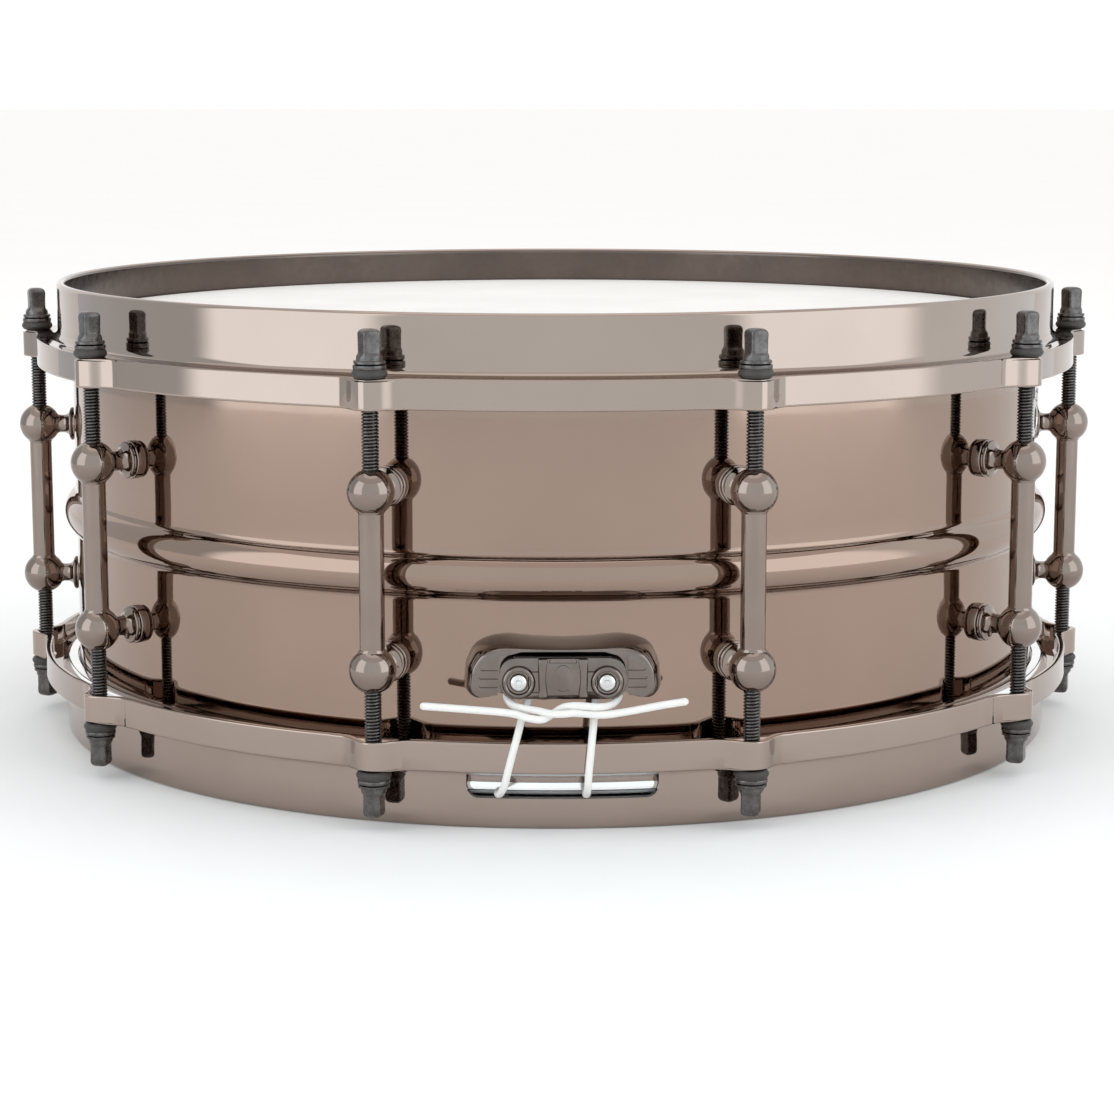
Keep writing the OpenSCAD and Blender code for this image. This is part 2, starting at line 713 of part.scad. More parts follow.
shell();
badge();
vent_grommet();
lug_tubes();
lug_posts_upper();
lug_posts_lower();
lug_screws();
lug_washers();
batter_head();
batter_flesh_hoop();
snare_head();
snare_flesh_hoop();
batter_hoop();
batter_washers_nylon();
batter_washers_steel();
snare_hoop();
snare_washers_nylon();
snare_washers_steel();
batter_rod(0);  // batter_rod_01
batter_rod(1);  // batter_rod_02
batter_rod(2);  // batter_rod_03
batter_rod(3);  // batter_rod_04
batter_rod(4);  // batter_rod_05
batter_rod(5);  // batter_rod_06
batter_rod(6);  // batter_rod_07
batter_rod(7);  // batter_rod_08
batter_rod(8);  // batter_rod_09
batter_rod(9);  // batter_rod_10
snare_rod(0);  // snare_rod_01
snare_rod(1);  // snare_rod_02
snare_rod(2);  // snare_rod_03
snare_rod(3);  // snare_rod_04
snare_rod(4);  // snare_rod_05
snare_rod(5);  // snare_rod_06
snare_rod(6);  // snare_rod_07
snare_rod(7);  // snare_rod_08
snare_rod(8);  // snare_rod_09
snare_rod(9);  // snare_rod_10
butt_base();
butt_mount_screws();
butt_clamp();
butt_screw_left();
butt_screw_right();
strainer_base();
strainer_mount_screws();
strainer_pivot();
strainer_lever();
strainer_carriage();
strainer_knob();
strainer_jaw();
strainer_jaw_screw_left();
strainer_jaw_screw_right();
snare_wires();
snare_plate_butt();
snare_plate_strainer();
snare_strap();
snare_cord();
cord_tail_left();
cord_tail_right();
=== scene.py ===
"""Snare drum, 14 by 5.5 inch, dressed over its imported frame."""
import logging
import math
import random
from dataclasses import dataclass
from enum import Enum
from functools import lru_cache
from typing import Sequence

import bmesh
import bpy
import numpy as np
from mathutils import Matrix, Vector


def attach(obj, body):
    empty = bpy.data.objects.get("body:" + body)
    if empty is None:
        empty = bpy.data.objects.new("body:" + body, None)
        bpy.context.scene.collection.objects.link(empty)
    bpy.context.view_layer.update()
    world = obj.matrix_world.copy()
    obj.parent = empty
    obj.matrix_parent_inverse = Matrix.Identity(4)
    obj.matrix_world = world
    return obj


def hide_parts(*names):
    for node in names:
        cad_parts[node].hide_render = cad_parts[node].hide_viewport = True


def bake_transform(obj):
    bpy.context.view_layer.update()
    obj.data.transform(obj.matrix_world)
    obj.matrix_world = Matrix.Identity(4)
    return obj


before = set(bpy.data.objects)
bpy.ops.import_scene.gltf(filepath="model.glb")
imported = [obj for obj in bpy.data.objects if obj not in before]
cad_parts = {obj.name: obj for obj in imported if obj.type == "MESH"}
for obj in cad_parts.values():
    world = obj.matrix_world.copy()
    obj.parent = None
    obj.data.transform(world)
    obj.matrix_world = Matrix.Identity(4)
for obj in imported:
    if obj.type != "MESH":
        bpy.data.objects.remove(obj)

LOG = logging.getLogger("snare_drum")
MM = 0.001
LUGS = 10
ROD_CIRCLE = 192.75
MIDDLE = 80.0
Colour = tuple[float, float, float]
Flat = tuple[float, float]
Route = Sequence[tuple[float, float, float]]
CORNERS = ((1, 1, 0), (-1, 1, 90), (-1, -1, 180), (1, -1, 270))


class Side(Enum):
    """The two ends of the drum."""

    BATTER = "batter"
    SNARE = "snare"


class Weave(Enum):
    """What a film's surface is like."""

    SPRAYED = "sprayed"
    HAZY = "hazy"


def lug_angle(index: int) -> float:
    """Angle of a lug from the front, in radians."""
    return math.radians(360 / LUGS * (index + 0.5))


def outward(angle: float, height: float = 0.0) -> Matrix:
    """Frame on the drum's axis whose Z points away from it.

    Args:
        angle: direction from the front, in radians, growing to the right.
        height: height over the resting plane, in millimetres.

    Returns:
        The matrix that places a part there.
    """
    turn = Matrix.Rotation(angle - math.pi / 2, 4, "Z")
    return turn @ Matrix.Translation((0, 0, height)) @ Matrix.Rotation(math.pi / 2, 4, "Y")


def at_rod(index: int, height: float, flipped: bool = False) -> Matrix:
    """Frame at a tension rod, with X pointing away from the drum.

    Args:
        index: number of the lug, from 0.
        height: height over the resting plane, in millimetres.
        flipped: True turns the frame upside down, for the snare side.

    Returns:
        The matrix that places a part there.
    """
    turn = Matrix.Rotation(lug_angle(index) - math.pi / 2, 4, "Z")
    place = turn @ Matrix.Translation((ROD_CIRCLE, 0, height))
    return place @ Matrix.Rotation(math.pi, 4, "X") if flipped else place


def arc(centre: Flat, radius: float, start: float, end: float, steps: int) -> list[Flat]:
    """Points on an arc, angles in degrees, both ends included."""
    spread = [math.radians(start + (end - start) * k / steps) for k in range(steps + 1)]
    return [(centre[0] + radius * math.cos(a), centre[1] + radius * math.sin(a)) for a in spread]


def turns(count: int) -> list[float]:
    """Angles of one full turn in equal steps, in radians."""
    return [2 * math.pi * k / count for k in range(count)]


def polar(radius: float, angle: float, height: float) -> Vector:
    """Point at a radius from the drum's axis and an angle from the front."""
    return Vector((radius * math.sin(angle), -radius * math.cos(angle), height))


def rounded(half: Flat, corner: float, steps: int, middle: Flat = (0.0, 0.0)) -> list[Flat]:
    """Rounded rectangle.

    Args:
        half: half its width and half its height.
        corner: radius of its corners.
        steps: how many steps each corner has.
        middle: its middle.

    Returns:
        The outline's points, in order.
    """
    outline: list[Flat] = []
    for x, z, start in CORNERS:
        centre = (middle[0] + x * (half[0] - corner), middle[1] + z * (half[1] - corner))
        outline += arc(centre, corner, start, start + 90, steps)
    return outline


def between(a: Vector, b: Vector, c: Vector, d: Vector, t: float) -> Vector:
    """Point on the smooth curve from b to c, a share t of the way."""
    straight = (b * 2) + (c - a) * t
    bent = (a * 2 - b * 5 + c * 4 - d) * t ** 2 + (b * 3 - a - c * 3 + d) * t ** 3
    return (straight + bent) * 0.5


def smooth_route(route: Route, step: float) -> list[Vector]:
    """Runs a smooth curve through a route's points.

    Args:
        route: the points, in millimetres.
        step: the largest distance between two points of the result.

    Returns:
        Closely spaced points on the curve.
    """
    points = [Vector(p) for p in route]
    padded = [points[0] * 2 - points[1], *points, points[-1] * 2 - points[-2]]
    curve: list[Vector] = []
    for a, b, c, d in zip(padded, padded[1:], padded[2:], padded[3:]):
        count = max(2, math.ceil((c - b).length / step))
        curve += [between(a, b, c, d, k / count) for k in range(count)]
    curve.append(points[-1])
    return curve


def smooth_outline(corners: Sequence[Flat], count: int) -> list[Flat]:
    """Closed smooth outline through corners, evenly spaced.

    Args:
        corners: the outline's points in order.
        count: how many points the result has.

    Returns:
        The outline's points.
    """
    ring = [Vector((x, y, 0)) for x, y in corners]
    size = len(ring)
    dense: list[Vector] = []
    for i in range(size):
        a, b, c, d = (ring[(i + k - 1) % size] for k in range(4))
        dense += [between(a, b, c, d, k / 24) for k in range(24)]
    dense.append(dense[0])
    gaps = [(q - p).length for p, q in zip(dense, dense[1:])]
    along = np.concatenate([[0.0], np.cumsum(gaps)])
    wanted = np.linspace(0, along[-1], count, endpoint=False)
    xs = np.interp(wanted, along, [p.x for p in dense])
    ys = np.interp(wanted, along, [p.y for p in dense])
    return list(zip(xs.tolist(), ys.tolist()))


class Blank:
    """A mesh being made, in millimetres."""

    def __init__(self) -> None:
        """Starts with no points."""
        self.points: list[Vector] = []
        self.faces: list[tuple[int, ...]] = []
        self.layout: list[list[Flat]] = []

    def grid(self, rings: Sequence[Sequence[Vector]], around: bool = True,
            along: bool = False) -> None:
        """Joins rings of points with four-sided faces.

        Args:
            rings: rings with the same number of points.
            around: True closes each ring.
            along: True joins the last ring to the first.
        """
        first = len(self.points)
        size = len(rings[0])
        self.points.extend(p for ring in rings for p in ring)
        rows = len(rings) if along else len(rings) - 1
        columns = size if around else size - 1
        for i in range(rows):
            for k in range(columns):
                a = first + i * size + k
                b = first + i * size + (k + 1) % size
                below = ((i + 1) % len(rings)) * size
                c = first + below + (k + 1) % size
                d = first + below + k
                self.faces.append((a, b, c, d))
                self.layout.append([(k, i), (k + 1, i), (k + 1, i + 1), (k, i + 1)])

    def cap(self, ring: Sequence[Vector]) -> None:
        """Closes a ring with one face."""
        first = len(self.points)
        self.points.extend(ring)
        self.faces.append(tuple(range(first, first + len(ring))))
        self.layout.append([(0.0, 0.0)] * len(ring))

    def lathe(
        self, profile: Sequence[Flat], place: Matrix, segments: int = 48, closed: bool = False
    ) -> None:
        """Turns a profile of (radius, height) about the frame's Z.

        Args:
            profile: the profile's points in order.
            place: where the turned part stands.
            segments: how many steps there are round it.
            closed: True joins the profile's last point to its first.
        """
        rings = []
        for radius, height in profile:
            angles = turns(segments)
            spots = [(radius * math.cos(a), radius * math.sin(a), height) for a in angles]
            rings.append([place @ Vector(spot) for spot in spots])
        self.grid(rings, True, closed)

    def tube(self, path: Sequence[Vector], radius: float, sides: int = 14) -> None:
        """Round tube along a path, with rounded ends.

        Args:
            path: closely spaced points.
            radius: the tube's radius.
            sides: how many sides it has.
        """
        heading = (path[1] - path[0]).normalized()
        side = heading.orthogonal().normalized()
        rings = []
        for i, point in enumerate(path):
            ahead = (path[min(i + 1, len(path) - 1)] - path[max(i - 1, 0)]).normalized()
            side = (side - ahead * side.dot(ahead)).normalized()
            up = ahead.cross(side)
            edge = min(i, len(path) - 1 - i)
            size = radius * (0.55 if edge == 0 else 1.0)
            angles = turns(sides)
            spokes = [side * (math.cos(a) * size) + up * (math.sin(a) * size) for a in angles]
            rings.append([point + spoke for spoke in spokes])
        self.grid(rings)
        self.cap(rings[0])
        self.cap(rings[-1])

    def solid(
        self, outline: Sequence[Flat], low: float, high: float, bevel: float, place: Matrix
    ) -> None:
        """Plate with bevelled edges, drawn in the frame's XY and thick along Z.

        Args:
            outline: the plate's outline.
            low: height of its underside.
            high: height of its top.
            bevel: width of the bevel on every edge.
            place: where the plate stands.
        """
        work = bmesh.new()
        base = [work.verts.new((x, y, low)) for x, y in outline]
        top = [work.verts.new((x, y, high)) for x, y in outline]
        work.faces.new(base[::-1])
        work.faces.new(top)
        size = len(outline)
        for k in range(size):
            work.faces.new((base[k], base[(k + 1) % size], top[(k + 1) % size], top[k]))
        if bevel > 0:
            bmesh.ops.bevel(
                work, geom=list(work.edges), offset=bevel, segments=3, profile=0.5,
                affect="EDGES", clamp_overlap=True,
            )
        work.verts.index_update()
        first = len(self.points)
        self.points.extend(place @ v.co for v in work.verts)
        for face in work.faces:
            self.faces.append(tuple(first + v.index for v in face.verts))
            self.layout.append([(0.0, 0.0)] * len(face.verts))
        work.free()

    def block(self, low: Sequence[float], high: Sequence[float], bevel: float) -> None:
        """Box with bevelled edges between two corners."""
        outline = [(low[0], low[1]), (high[0], low[1]), (high[0], high[1]), (low[0], high[1])]
        self.solid(outline, low[2], high[2], bevel, Matrix.Identity(4))

    def make(self, name: str, finish: "Finish | None", sharp: float = 40.0) -> bpy.types.Object:
        """Turns the blank into an object in metres.

        Args:
            name: the object's name.
            finish: its finish, or None for a cutter.
            sharp: edges bent by more degrees than this stay crisp.

        Returns:
            The new object.
        """
        mesh = bpy.data.meshes.new(name)
        mesh.from_pydata([tuple(p * MM) for p in self.points], [], self.faces)
        layer = mesh.uv_layers.new(name="run")
        flat = [value for face in self.layout for corner in face for value in corner]
        layer.data.foreach_set("uv", flat)
        work = bmesh.new()
        work.from_mesh(mesh)
        bmesh.ops.remove_doubles(work, verts=work.verts, dist=1e-7)
        bmesh.ops.recalc_face_normals(work, faces=work.faces)
        work.to_mesh(mesh)
        work.free()
        shade(mesh, sharp)
        thing = bpy.data.objects.new(name, mesh)
        bpy.context.scene.collection.objects.link(thing)
        if finish:
            mesh.materials.append(finish.build())
        return thing


def shade(mesh: bpy.types.Mesh, sharp: float) -> None:
    """Shades a mesh smooth, apart from edges bent by more than sharp degrees."""
    mesh.polygons.foreach_set("use_smooth", [True] * len(mesh.polygons))
    mesh.set_sharp_from_angle(angle=math.radians(sharp))


def carve(thing: bpy.types.Object, cutter: bpy.types.Object, sharp: float = 40.0) -> None:
    """Cuts one object out of another and removes the cutter.

    Args:
        thing: the object that keeps its name.
        cutter: the object that is cut away.
        sharp: edges bent by more degrees than this stay crisp.
    """
    tool = thing.modifiers.new("cut", "BOOLEAN")
    tool.operation = "DIFFERENCE"
    tool.solver = "EXACT"
    tool.object = cutter
    bpy.context.view_layer.update()
    ready = thing.evaluated_get(bpy.context.evaluated_depsgraph_get())
    mesh = bpy.data.meshes.new_from_object(ready)
    thing.modifiers.clear()
    thing.data = mesh
    shade(mesh, sharp)
    bpy.data.objects.remove(cutter)


def settle(thing: bpy.types.Object, body: str, slot: str, *nodes: str) -> bpy.types.Object:
    """Rides a piece on its body and hides the nodes it stands for."""
    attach(thing, body)
    if nodes:
        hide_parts(*nodes)
    LOG.info("%s rides on %s", thing.name, body)
    return thing


class Bench:
    """A material's node tree, with short ways to add nodes to it."""

    def __init__(self, name: str) -> None:
        """Starts a material with its plain shader."""
        self.material = bpy.data.materials.new(name)
        self.material.use_nodes = True
        self.tree = self.material.node_tree
        self.shader = self.tree.nodes["Principled BSDF"]

    def add(self, kind: str, **settings: object) -> bpy.types.Node:
        """Adds a node and gives its properties their values."""
        node = self.tree.nodes.new(kind)
        for key, value in settings.items():
            setattr(node, key, value)
        return node

    def join(self, source: bpy.types.NodeSocket, target: bpy.types.NodeSocket) -> None:
        """Links two sockets."""
        self.tree.links.new(source, target)

    def place(self, stretch: Sequence[float] = (1, 1, 1),
            kind: str = "Object") -> bpy.types.NodeSocket:
        """Texture coordinates, stretched along each axis."""
        source = self.add("ShaderNodeTexCoord")
        mapping = self.add("ShaderNodeMapping")
        mapping.inputs["Scale"].default_value = stretch
        self.join(source.outputs[kind], mapping.inputs["Vector"])
        return mapping.outputs["Vector"]

    def noise(self, where: bpy.types.NodeSocket, scale: float,
            detail: float = 3.0) -> bpy.types.NodeSocket:
        """Noise value at a scale per metre."""
        node = self.add("ShaderNodeTexNoise")
        node.inputs["Scale"].default_value = scale
        node.inputs["Detail"].default_value = detail
        self.join(where, node.inputs["Vector"])
        return node.outputs["Fac"]

    def spread(self, value: bpy.types.NodeSocket, low: float, high: float) -> bpy.types.NodeSocket:
        """Maps a noise value's middle part onto a range."""
        node = self.add("ShaderNodeMapRange")
        node.inputs["From Min"].default_value = 0.3
        node.inputs["From Max"].default_value = 0.7
        node.inputs["To Min"].default_value = low
        node.inputs["To Max"].default_value = high
        self.join(value, node.inputs["Value"])
        return node.outputs["Result"]

    def blend(self, value: bpy.types.NodeSocket, first: Colour,
            second: Colour) -> bpy.types.NodeSocket:
        """Mixes two colours by a noise value."""
        ramp = self.add("ShaderNodeValToRGB")
        ramp.color_ramp.elements[0].position = 0.32
        ramp.color_ramp.elements[0].color = (*first, 1)
        ramp.color_ramp.elements[1].position = 0.68
        ramp.color_ramp.elements[1].color = (*second, 1)
        self.join(value, ramp.inputs["Fac"])
        return ramp.outputs["Color"]

    def relief(self, height: bpy.types.NodeSocket, depth: float, strength: float = 1.0) -> None:
        """Bumps the surface by a height, with its depth in metres."""
        bump = self.add("ShaderNodeBump")
        bump.inputs["Strength"].default_value = strength
        bump.inputs["Distance"].default_value = depth
        self.join(height, bump.inputs["Height"])
        self.join(bump.outputs["Normal"], self.shader.inputs["Normal"])


@dataclass(frozen=True)
class Finish:
    """A metal finish: two close colours, a roughness range and a fine grain.

    Attributes:
        name: the material's name.
        first: the main colour.
        second: the colour where it is handled or worn; on the cord, the painted shade in the
            grooves between the plaits.
        rough: lowest and highest roughness.
        cloud: noise scale of the colour, per metre.
        grain: noise scale of the relief, per metre.
        depth: depth of the relief, in metres.
        stretch: how the grain is stretched along each axis.
        metallic: 1 for metal, 0 for the rest.
        detail: fineness of the relief's noise.
    """

    name: str
    first: Colour
    second: Colour
    rough: Flat
    cloud: float = 70.0
    grain: float = 500.0
    depth: float = 2e-6
    stretch: tuple[float, float, float] = (1.0, 1.0, 1.0)
    metallic: float = 1.0
    detail: float = 2.0

    def finish_off(self, bench: Bench) -> None:
        """Sets what only one kind of finish has."""

    @lru_cache(maxsize=None)
    def build(self) -> bpy.types.Material:
        """Makes the material once.

        Returns:
            The material.
        """
        bench = Bench(self.name)
        bench.shader.inputs["Metallic"].default_value = self.metallic
        clouds = bench.noise(bench.place(), self.cloud, 4.0)
        bench.join(bench.blend(clouds, self.first, self.second), bench.shader.inputs["Base Color"])
        grain = bench.noise(bench.place(self.stretch), self.grain, self.detail)
        bench.join(bench.spread(grain, *self.rough), bench.shader.inputs["Roughness"])
        bench.relief(grain, self.depth)
        self.finish_off(bench)
        return bench.material


@dataclass(frozen=True)
class Film(Finish):
    """A drumhead's film: sprayed white coating or hazy clear polyester."""

    detail: float = 5.0
    weave: Weave = Weave.SPRAYED

    def finish_off(self, bench: Bench) -> None:
        """Lets some light through a hazy film."""
        if self.weave is Weave.HAZY:
            bench.shader.inputs["Transmission Weight"].default_value = 0.3
            bench.shader.inputs["IOR"].default_value = 1.5


@dataclass(frozen=True)
class Cording(Finish):
    """Braided white cord: slanted plaits that follow its run, with painted shade in the grooves
    between them.
    """

    @lru_cache(maxsize=None)
    def build(self) -> bpy.types.Material:
        """Makes the material once.

        Returns:
            The material.
        """
        bench = Bench(self.name)
        heights = []
        for slant in (1.0, -1.0):
            run = bench.place((slant * 2 * math.pi / 14 * 4, 2.6, 1.0), "UV")
            wave = bench.add("ShaderNodeTexWave", wave_type="BANDS", bands_direction="DIAGONAL")
            wave.inputs["Scale"].default_value = 0.32
            bench.join(run, wave.inputs["Vector"])
            heights.append(wave.outputs["Fac"])
        crossing = bench.add("ShaderNodeMath", operation="MAXIMUM")
        bench.join(heights[0], crossing.inputs[0])
        bench.join(heights[1], crossing.inputs[1])
        fluff = bench.noise(bench.place(), self.grain, 3.0)
        total = bench.add("ShaderNodeMath", operation="ADD")
        bench.join(crossing.outputs["Value"], total.inputs[0])
        bench.join(fluff, total.inputs[1])
        # Painted shade: the grooves between the plaits get the darker second colour, the crests the
        # first.
        colour = bench.blend(crossing.outputs["Value"], self.second, self.first)
        bench.join(colour, bench.shader.inputs["Base Color"])
        bench.join(bench.spread(fluff, *self.rough), bench.shader.inputs["Roughness"])
        bench.relief(total.outputs["Value"], self.depth)
        bench.shader.inputs["Sheen Weight"].default_value = 0.3
        return bench.material


BLACK_NICKEL = Finish(
    "black_nickel", (0.312, 0.222, 0.178), (0.294, 0.208, 0.167), (0.02, 0.05), 25, 60, 1.5e-6,
)
HOOP_NICKEL = Finish(
    "hoop_nickel", (0.365, 0.29, 0.25), (0.345, 0.272, 0.234), (0.02, 0.05), 25, 60, 1.5e-6,
)
RIM_INSIDE = Finish(
    "rim_inside_nickel", (0.15, 0.118, 0.102), (0.125, 0.098, 0.086), (0.14, 0.24), 40, 300, 3e-6,
)
CAST_NICKEL = Finish(
    "cast_nickel", (0.205, 0.168, 0.15), (0.165, 0.136, 0.122), (0.05, 0.12), 160, 700, 3e-6,
)
LUG_NICKEL = Finish(
    "lug_nickel", (0.27, 0.215, 0.187), (0.245, 0.193, 0.167), (0.03, 0.08), 60, 200, 2e-6,
)
BLACKENED = Finish(
    "blackened_steel", (0.15, 0.138, 0.133), (0.085, 0.078, 0.076), (0.2, 0.36), 420, 1600, 2e-5,
)
BRIGHT = Finish("bright_nickel", (0.72, 0.71, 0.7), (0.62, 0.61, 0.6), (0.1, 0.2), 200, 900, 5e-6)
ALUMINIUM = Finish(
    "aluminium", (0.88, 0.88, 0.875), (0.8, 0.8, 0.8), (0.07, 0.16), 60, 250, 2e-6, (1, 1, 14),
)
SNARE_STEEL = Finish(
    "snare_steel", (0.66, 0.66, 0.65), (0.5, 0.5, 0.5), (0.15, 0.3), 300, 1200, 4e-6,
)
BRASS = Finish("brass", (0.72, 0.5, 0.23), (0.6, 0.4, 0.18), (0.16, 0.3), 120, 900, 6e-6)
VENT_METAL = Finish(
    "vent_metal", (0.6, 0.585, 0.56), (0.5, 0.485, 0.46), (0.08, 0.2), 120, 900, 4e-6,
)
NYLON = Finish(
    "nylon", (0.03, 0.025, 0.022), (0.04, 0.034, 0.03), (0.42, 0.6), 250, 1400, 2e-5, metallic=0,
)
COATED = Film(
    "coated_film", (0.8, 0.765, 0.735), (0.755, 0.72, 0.69), (0.5, 0.75), 30, 900, 1.2e-4,
    metallic=0,
)
CLEAR = Film(
    "clear_film", (0.9, 0.92, 0.93), (0.82, 0.84, 0.85), (0.12, 0.26), 20, 150, 1e-5, metallic=0,
    weave=Weave.HAZY,
)
FLOOR_PAINT = Finish(
    "floor_paint", (0.912, 0.9, 0.892), (0.902, 0.89, 0.882), (0.7, 0.9), 4, 50, metallic=0,
)
# The cord's second colour is painted shade for the grooves between its plaits.
CORD = Cording(
    "cord", (0.95, 0.915, 0.88), (0.74, 0.7, 0.66), (0.7, 0.95), 200, 2500, 1.2e-4, metallic=0,
)
STRAP = Film(
    "strap_film", (0.5, 0.52, 0.54), (0.62, 0.64, 0.65), (0.2, 0.4), 60, 400, 2e-5, metallic=0,
    weave=Weave.HAZY,
)


@dataclass
class Studio:
    """Pale floor, soft light and the camera. Lengths are in metres.

    Attributes:
        lens: focal length on a sensor 36 mm wide, in millimetres.
        eye: where the camera stands.
        pitch: how far it looks down, in degrees.
        heading: how far it looks to the right, in degrees.
        panel_reach: distance of the standing panels from the drum's axis.
        panel_top: height of the panels.
        peak: brightness at full glow.
        sweep: pairs of a direction from the camera side, in degrees, and a share of the peak.
        tint: the panels' colour.
        sky_glow: brightness of the room.
        lamp_power: power of the lamp overhead, in watts.
    """

    lens: float = 90.1
    eye: tuple[float, float, float] = (-0.013363, -1.03996, 0.23022)
    pitch: float = 9.45
    heading: float = 0.773
    panel_reach: float = 1.3
    panel_top: float = 1.3
    peak: float = 2.7
    sweep: Sequence[tuple[float, float]] = (
        (-130, 0.3), (-82, 0.32), (-74, 0.86), (-41, 0.86), (-34, 0.47), (34, 0.47), (41, 0.86),
        (74, 0.86), (84, 0.5), (130, 0.46),
    )
    tint: Colour = (0.88, 0.96, 1.0)
    sky_glow: float = 1.06
    lamp_power: float = 6.0

    def camera(self) -> None:
        """Makes the scene's camera."""
        data = bpy.data.cameras.new("camera")
        data.lens = self.lens
        data.sensor_width = 36
        data.clip_end = 200
        thing = bpy.data.objects.new("camera", data)
        bpy.context.scene.collection.objects.link(thing)
        turn = Matrix.Rotation(math.radians(-self.heading), 4, "Z")
        tilt = Matrix.Rotation(math.radians(90 - self.pitch), 4, "X")
        thing.matrix_world = Matrix.Translation(self.eye) @ turn @ tilt
        bpy.context.scene.camera = thing

    def glow(self) -> bpy.types.Material:
        """Glowing cloth whose brightness follows the sweep round the drum.

        Returns:
            The material.
        """
        bench = Bench("panel_cloth")
        bench.shader.inputs["Base Color"].default_value = (0, 0, 0, 1)
        bench.shader.inputs["Roughness"].default_value = 1
        source = bench.add("ShaderNodeTexCoord")
        split = bench.add("ShaderNodeSeparateXYZ")
        bench.join(source.outputs["UV"], split.inputs["Vector"])
        span = bench.add("ShaderNodeMapRange")
        span.inputs["From Max"].default_value = 130.0
        bench.join(split.outputs["X"], span.inputs["Value"])
        ramp = bench.add("ShaderNodeValToRGB")
        ramp.color_ramp.interpolation = "EASE"
        stops = ramp.color_ramp.elements
        first, last = self.sweep[0][0], self.sweep[-1][0]
        for k, (direction, share) in enumerate(self.sweep):
            at = (direction - first) / (last - first)
            stop = stops[0] if k == 0 else stops[-1] if k == len(self.sweep) - 1 else stops.new(at)
            stop.position = at
            stop.color = (*(share * c for c in self.tint), 1)
        bench.join(span.outputs["Result"], ramp.inputs["Fac"])
        bench.join(ramp.outputs["Color"], bench.shader.inputs["Emission Color"])
        bench.shader.inputs["Emission Strength"].default_value = self.peak
        return bench.material

    def panels(self) -> None:
        """Makes the curved standing panels as one sweep round the camera side."""
        blank = Blank()
        first, last = self.sweep[0][0], self.sweep[-1][0]
        steps = [math.radians(first + (last - first) * k / 130) for k in range(131)]
        reach = self.panel_reach * 1000
        rows = []
        for height in (0.0, self.panel_top * 1000):
            rows.append([polar(reach, a, height) for a in steps])
        blank.grid(rows, around=False)
        thing = blank.make("panels", None)
        thing.data.materials.append(self.glow())
        thing.visible_camera = False

    def lamp(self) -> None:
        """Hangs one large soft lamp over the drum."""
        data = bpy.data.lights.new("soft_lamp", "AREA")
        data.shape = "DISK"
        data.size = 2.4
        data.energy = self.lamp_power
        thing = bpy.data.objects.new("soft_lamp", data)
        bpy.context.scene.collection.objects.link(thing)
        thing.location = (0.0, 0.2, 2.6)
        thing.visible_camera = False

    def build(self) -> None:
        """Sets up the room: floor, panels, lamp and even light."""
        world = bpy.context.scene.world or bpy.data.worlds.new("room")
        bpy.context.scene.world = world
        world.use_nodes = True
        world.node_tree.nodes["Background"].inputs["Color"].default_value = (1, 1, 1, 1)
        world.node_tree.nodes["Background"].inputs["Strength"].default_value = self.sky_glow
        self.panels()
        blank = Blank()
        blank.lathe([(0.0001, 0), (800, 0), (3000, 0), (40000, 0)], Matrix.Identity(4), 96)
        floor = blank.make("floor", FLOOR_PAINT)
        self.lamp()
        bpy.context.scene.view_settings.view_transform = "Standard"
        LOG.info("studio ready")


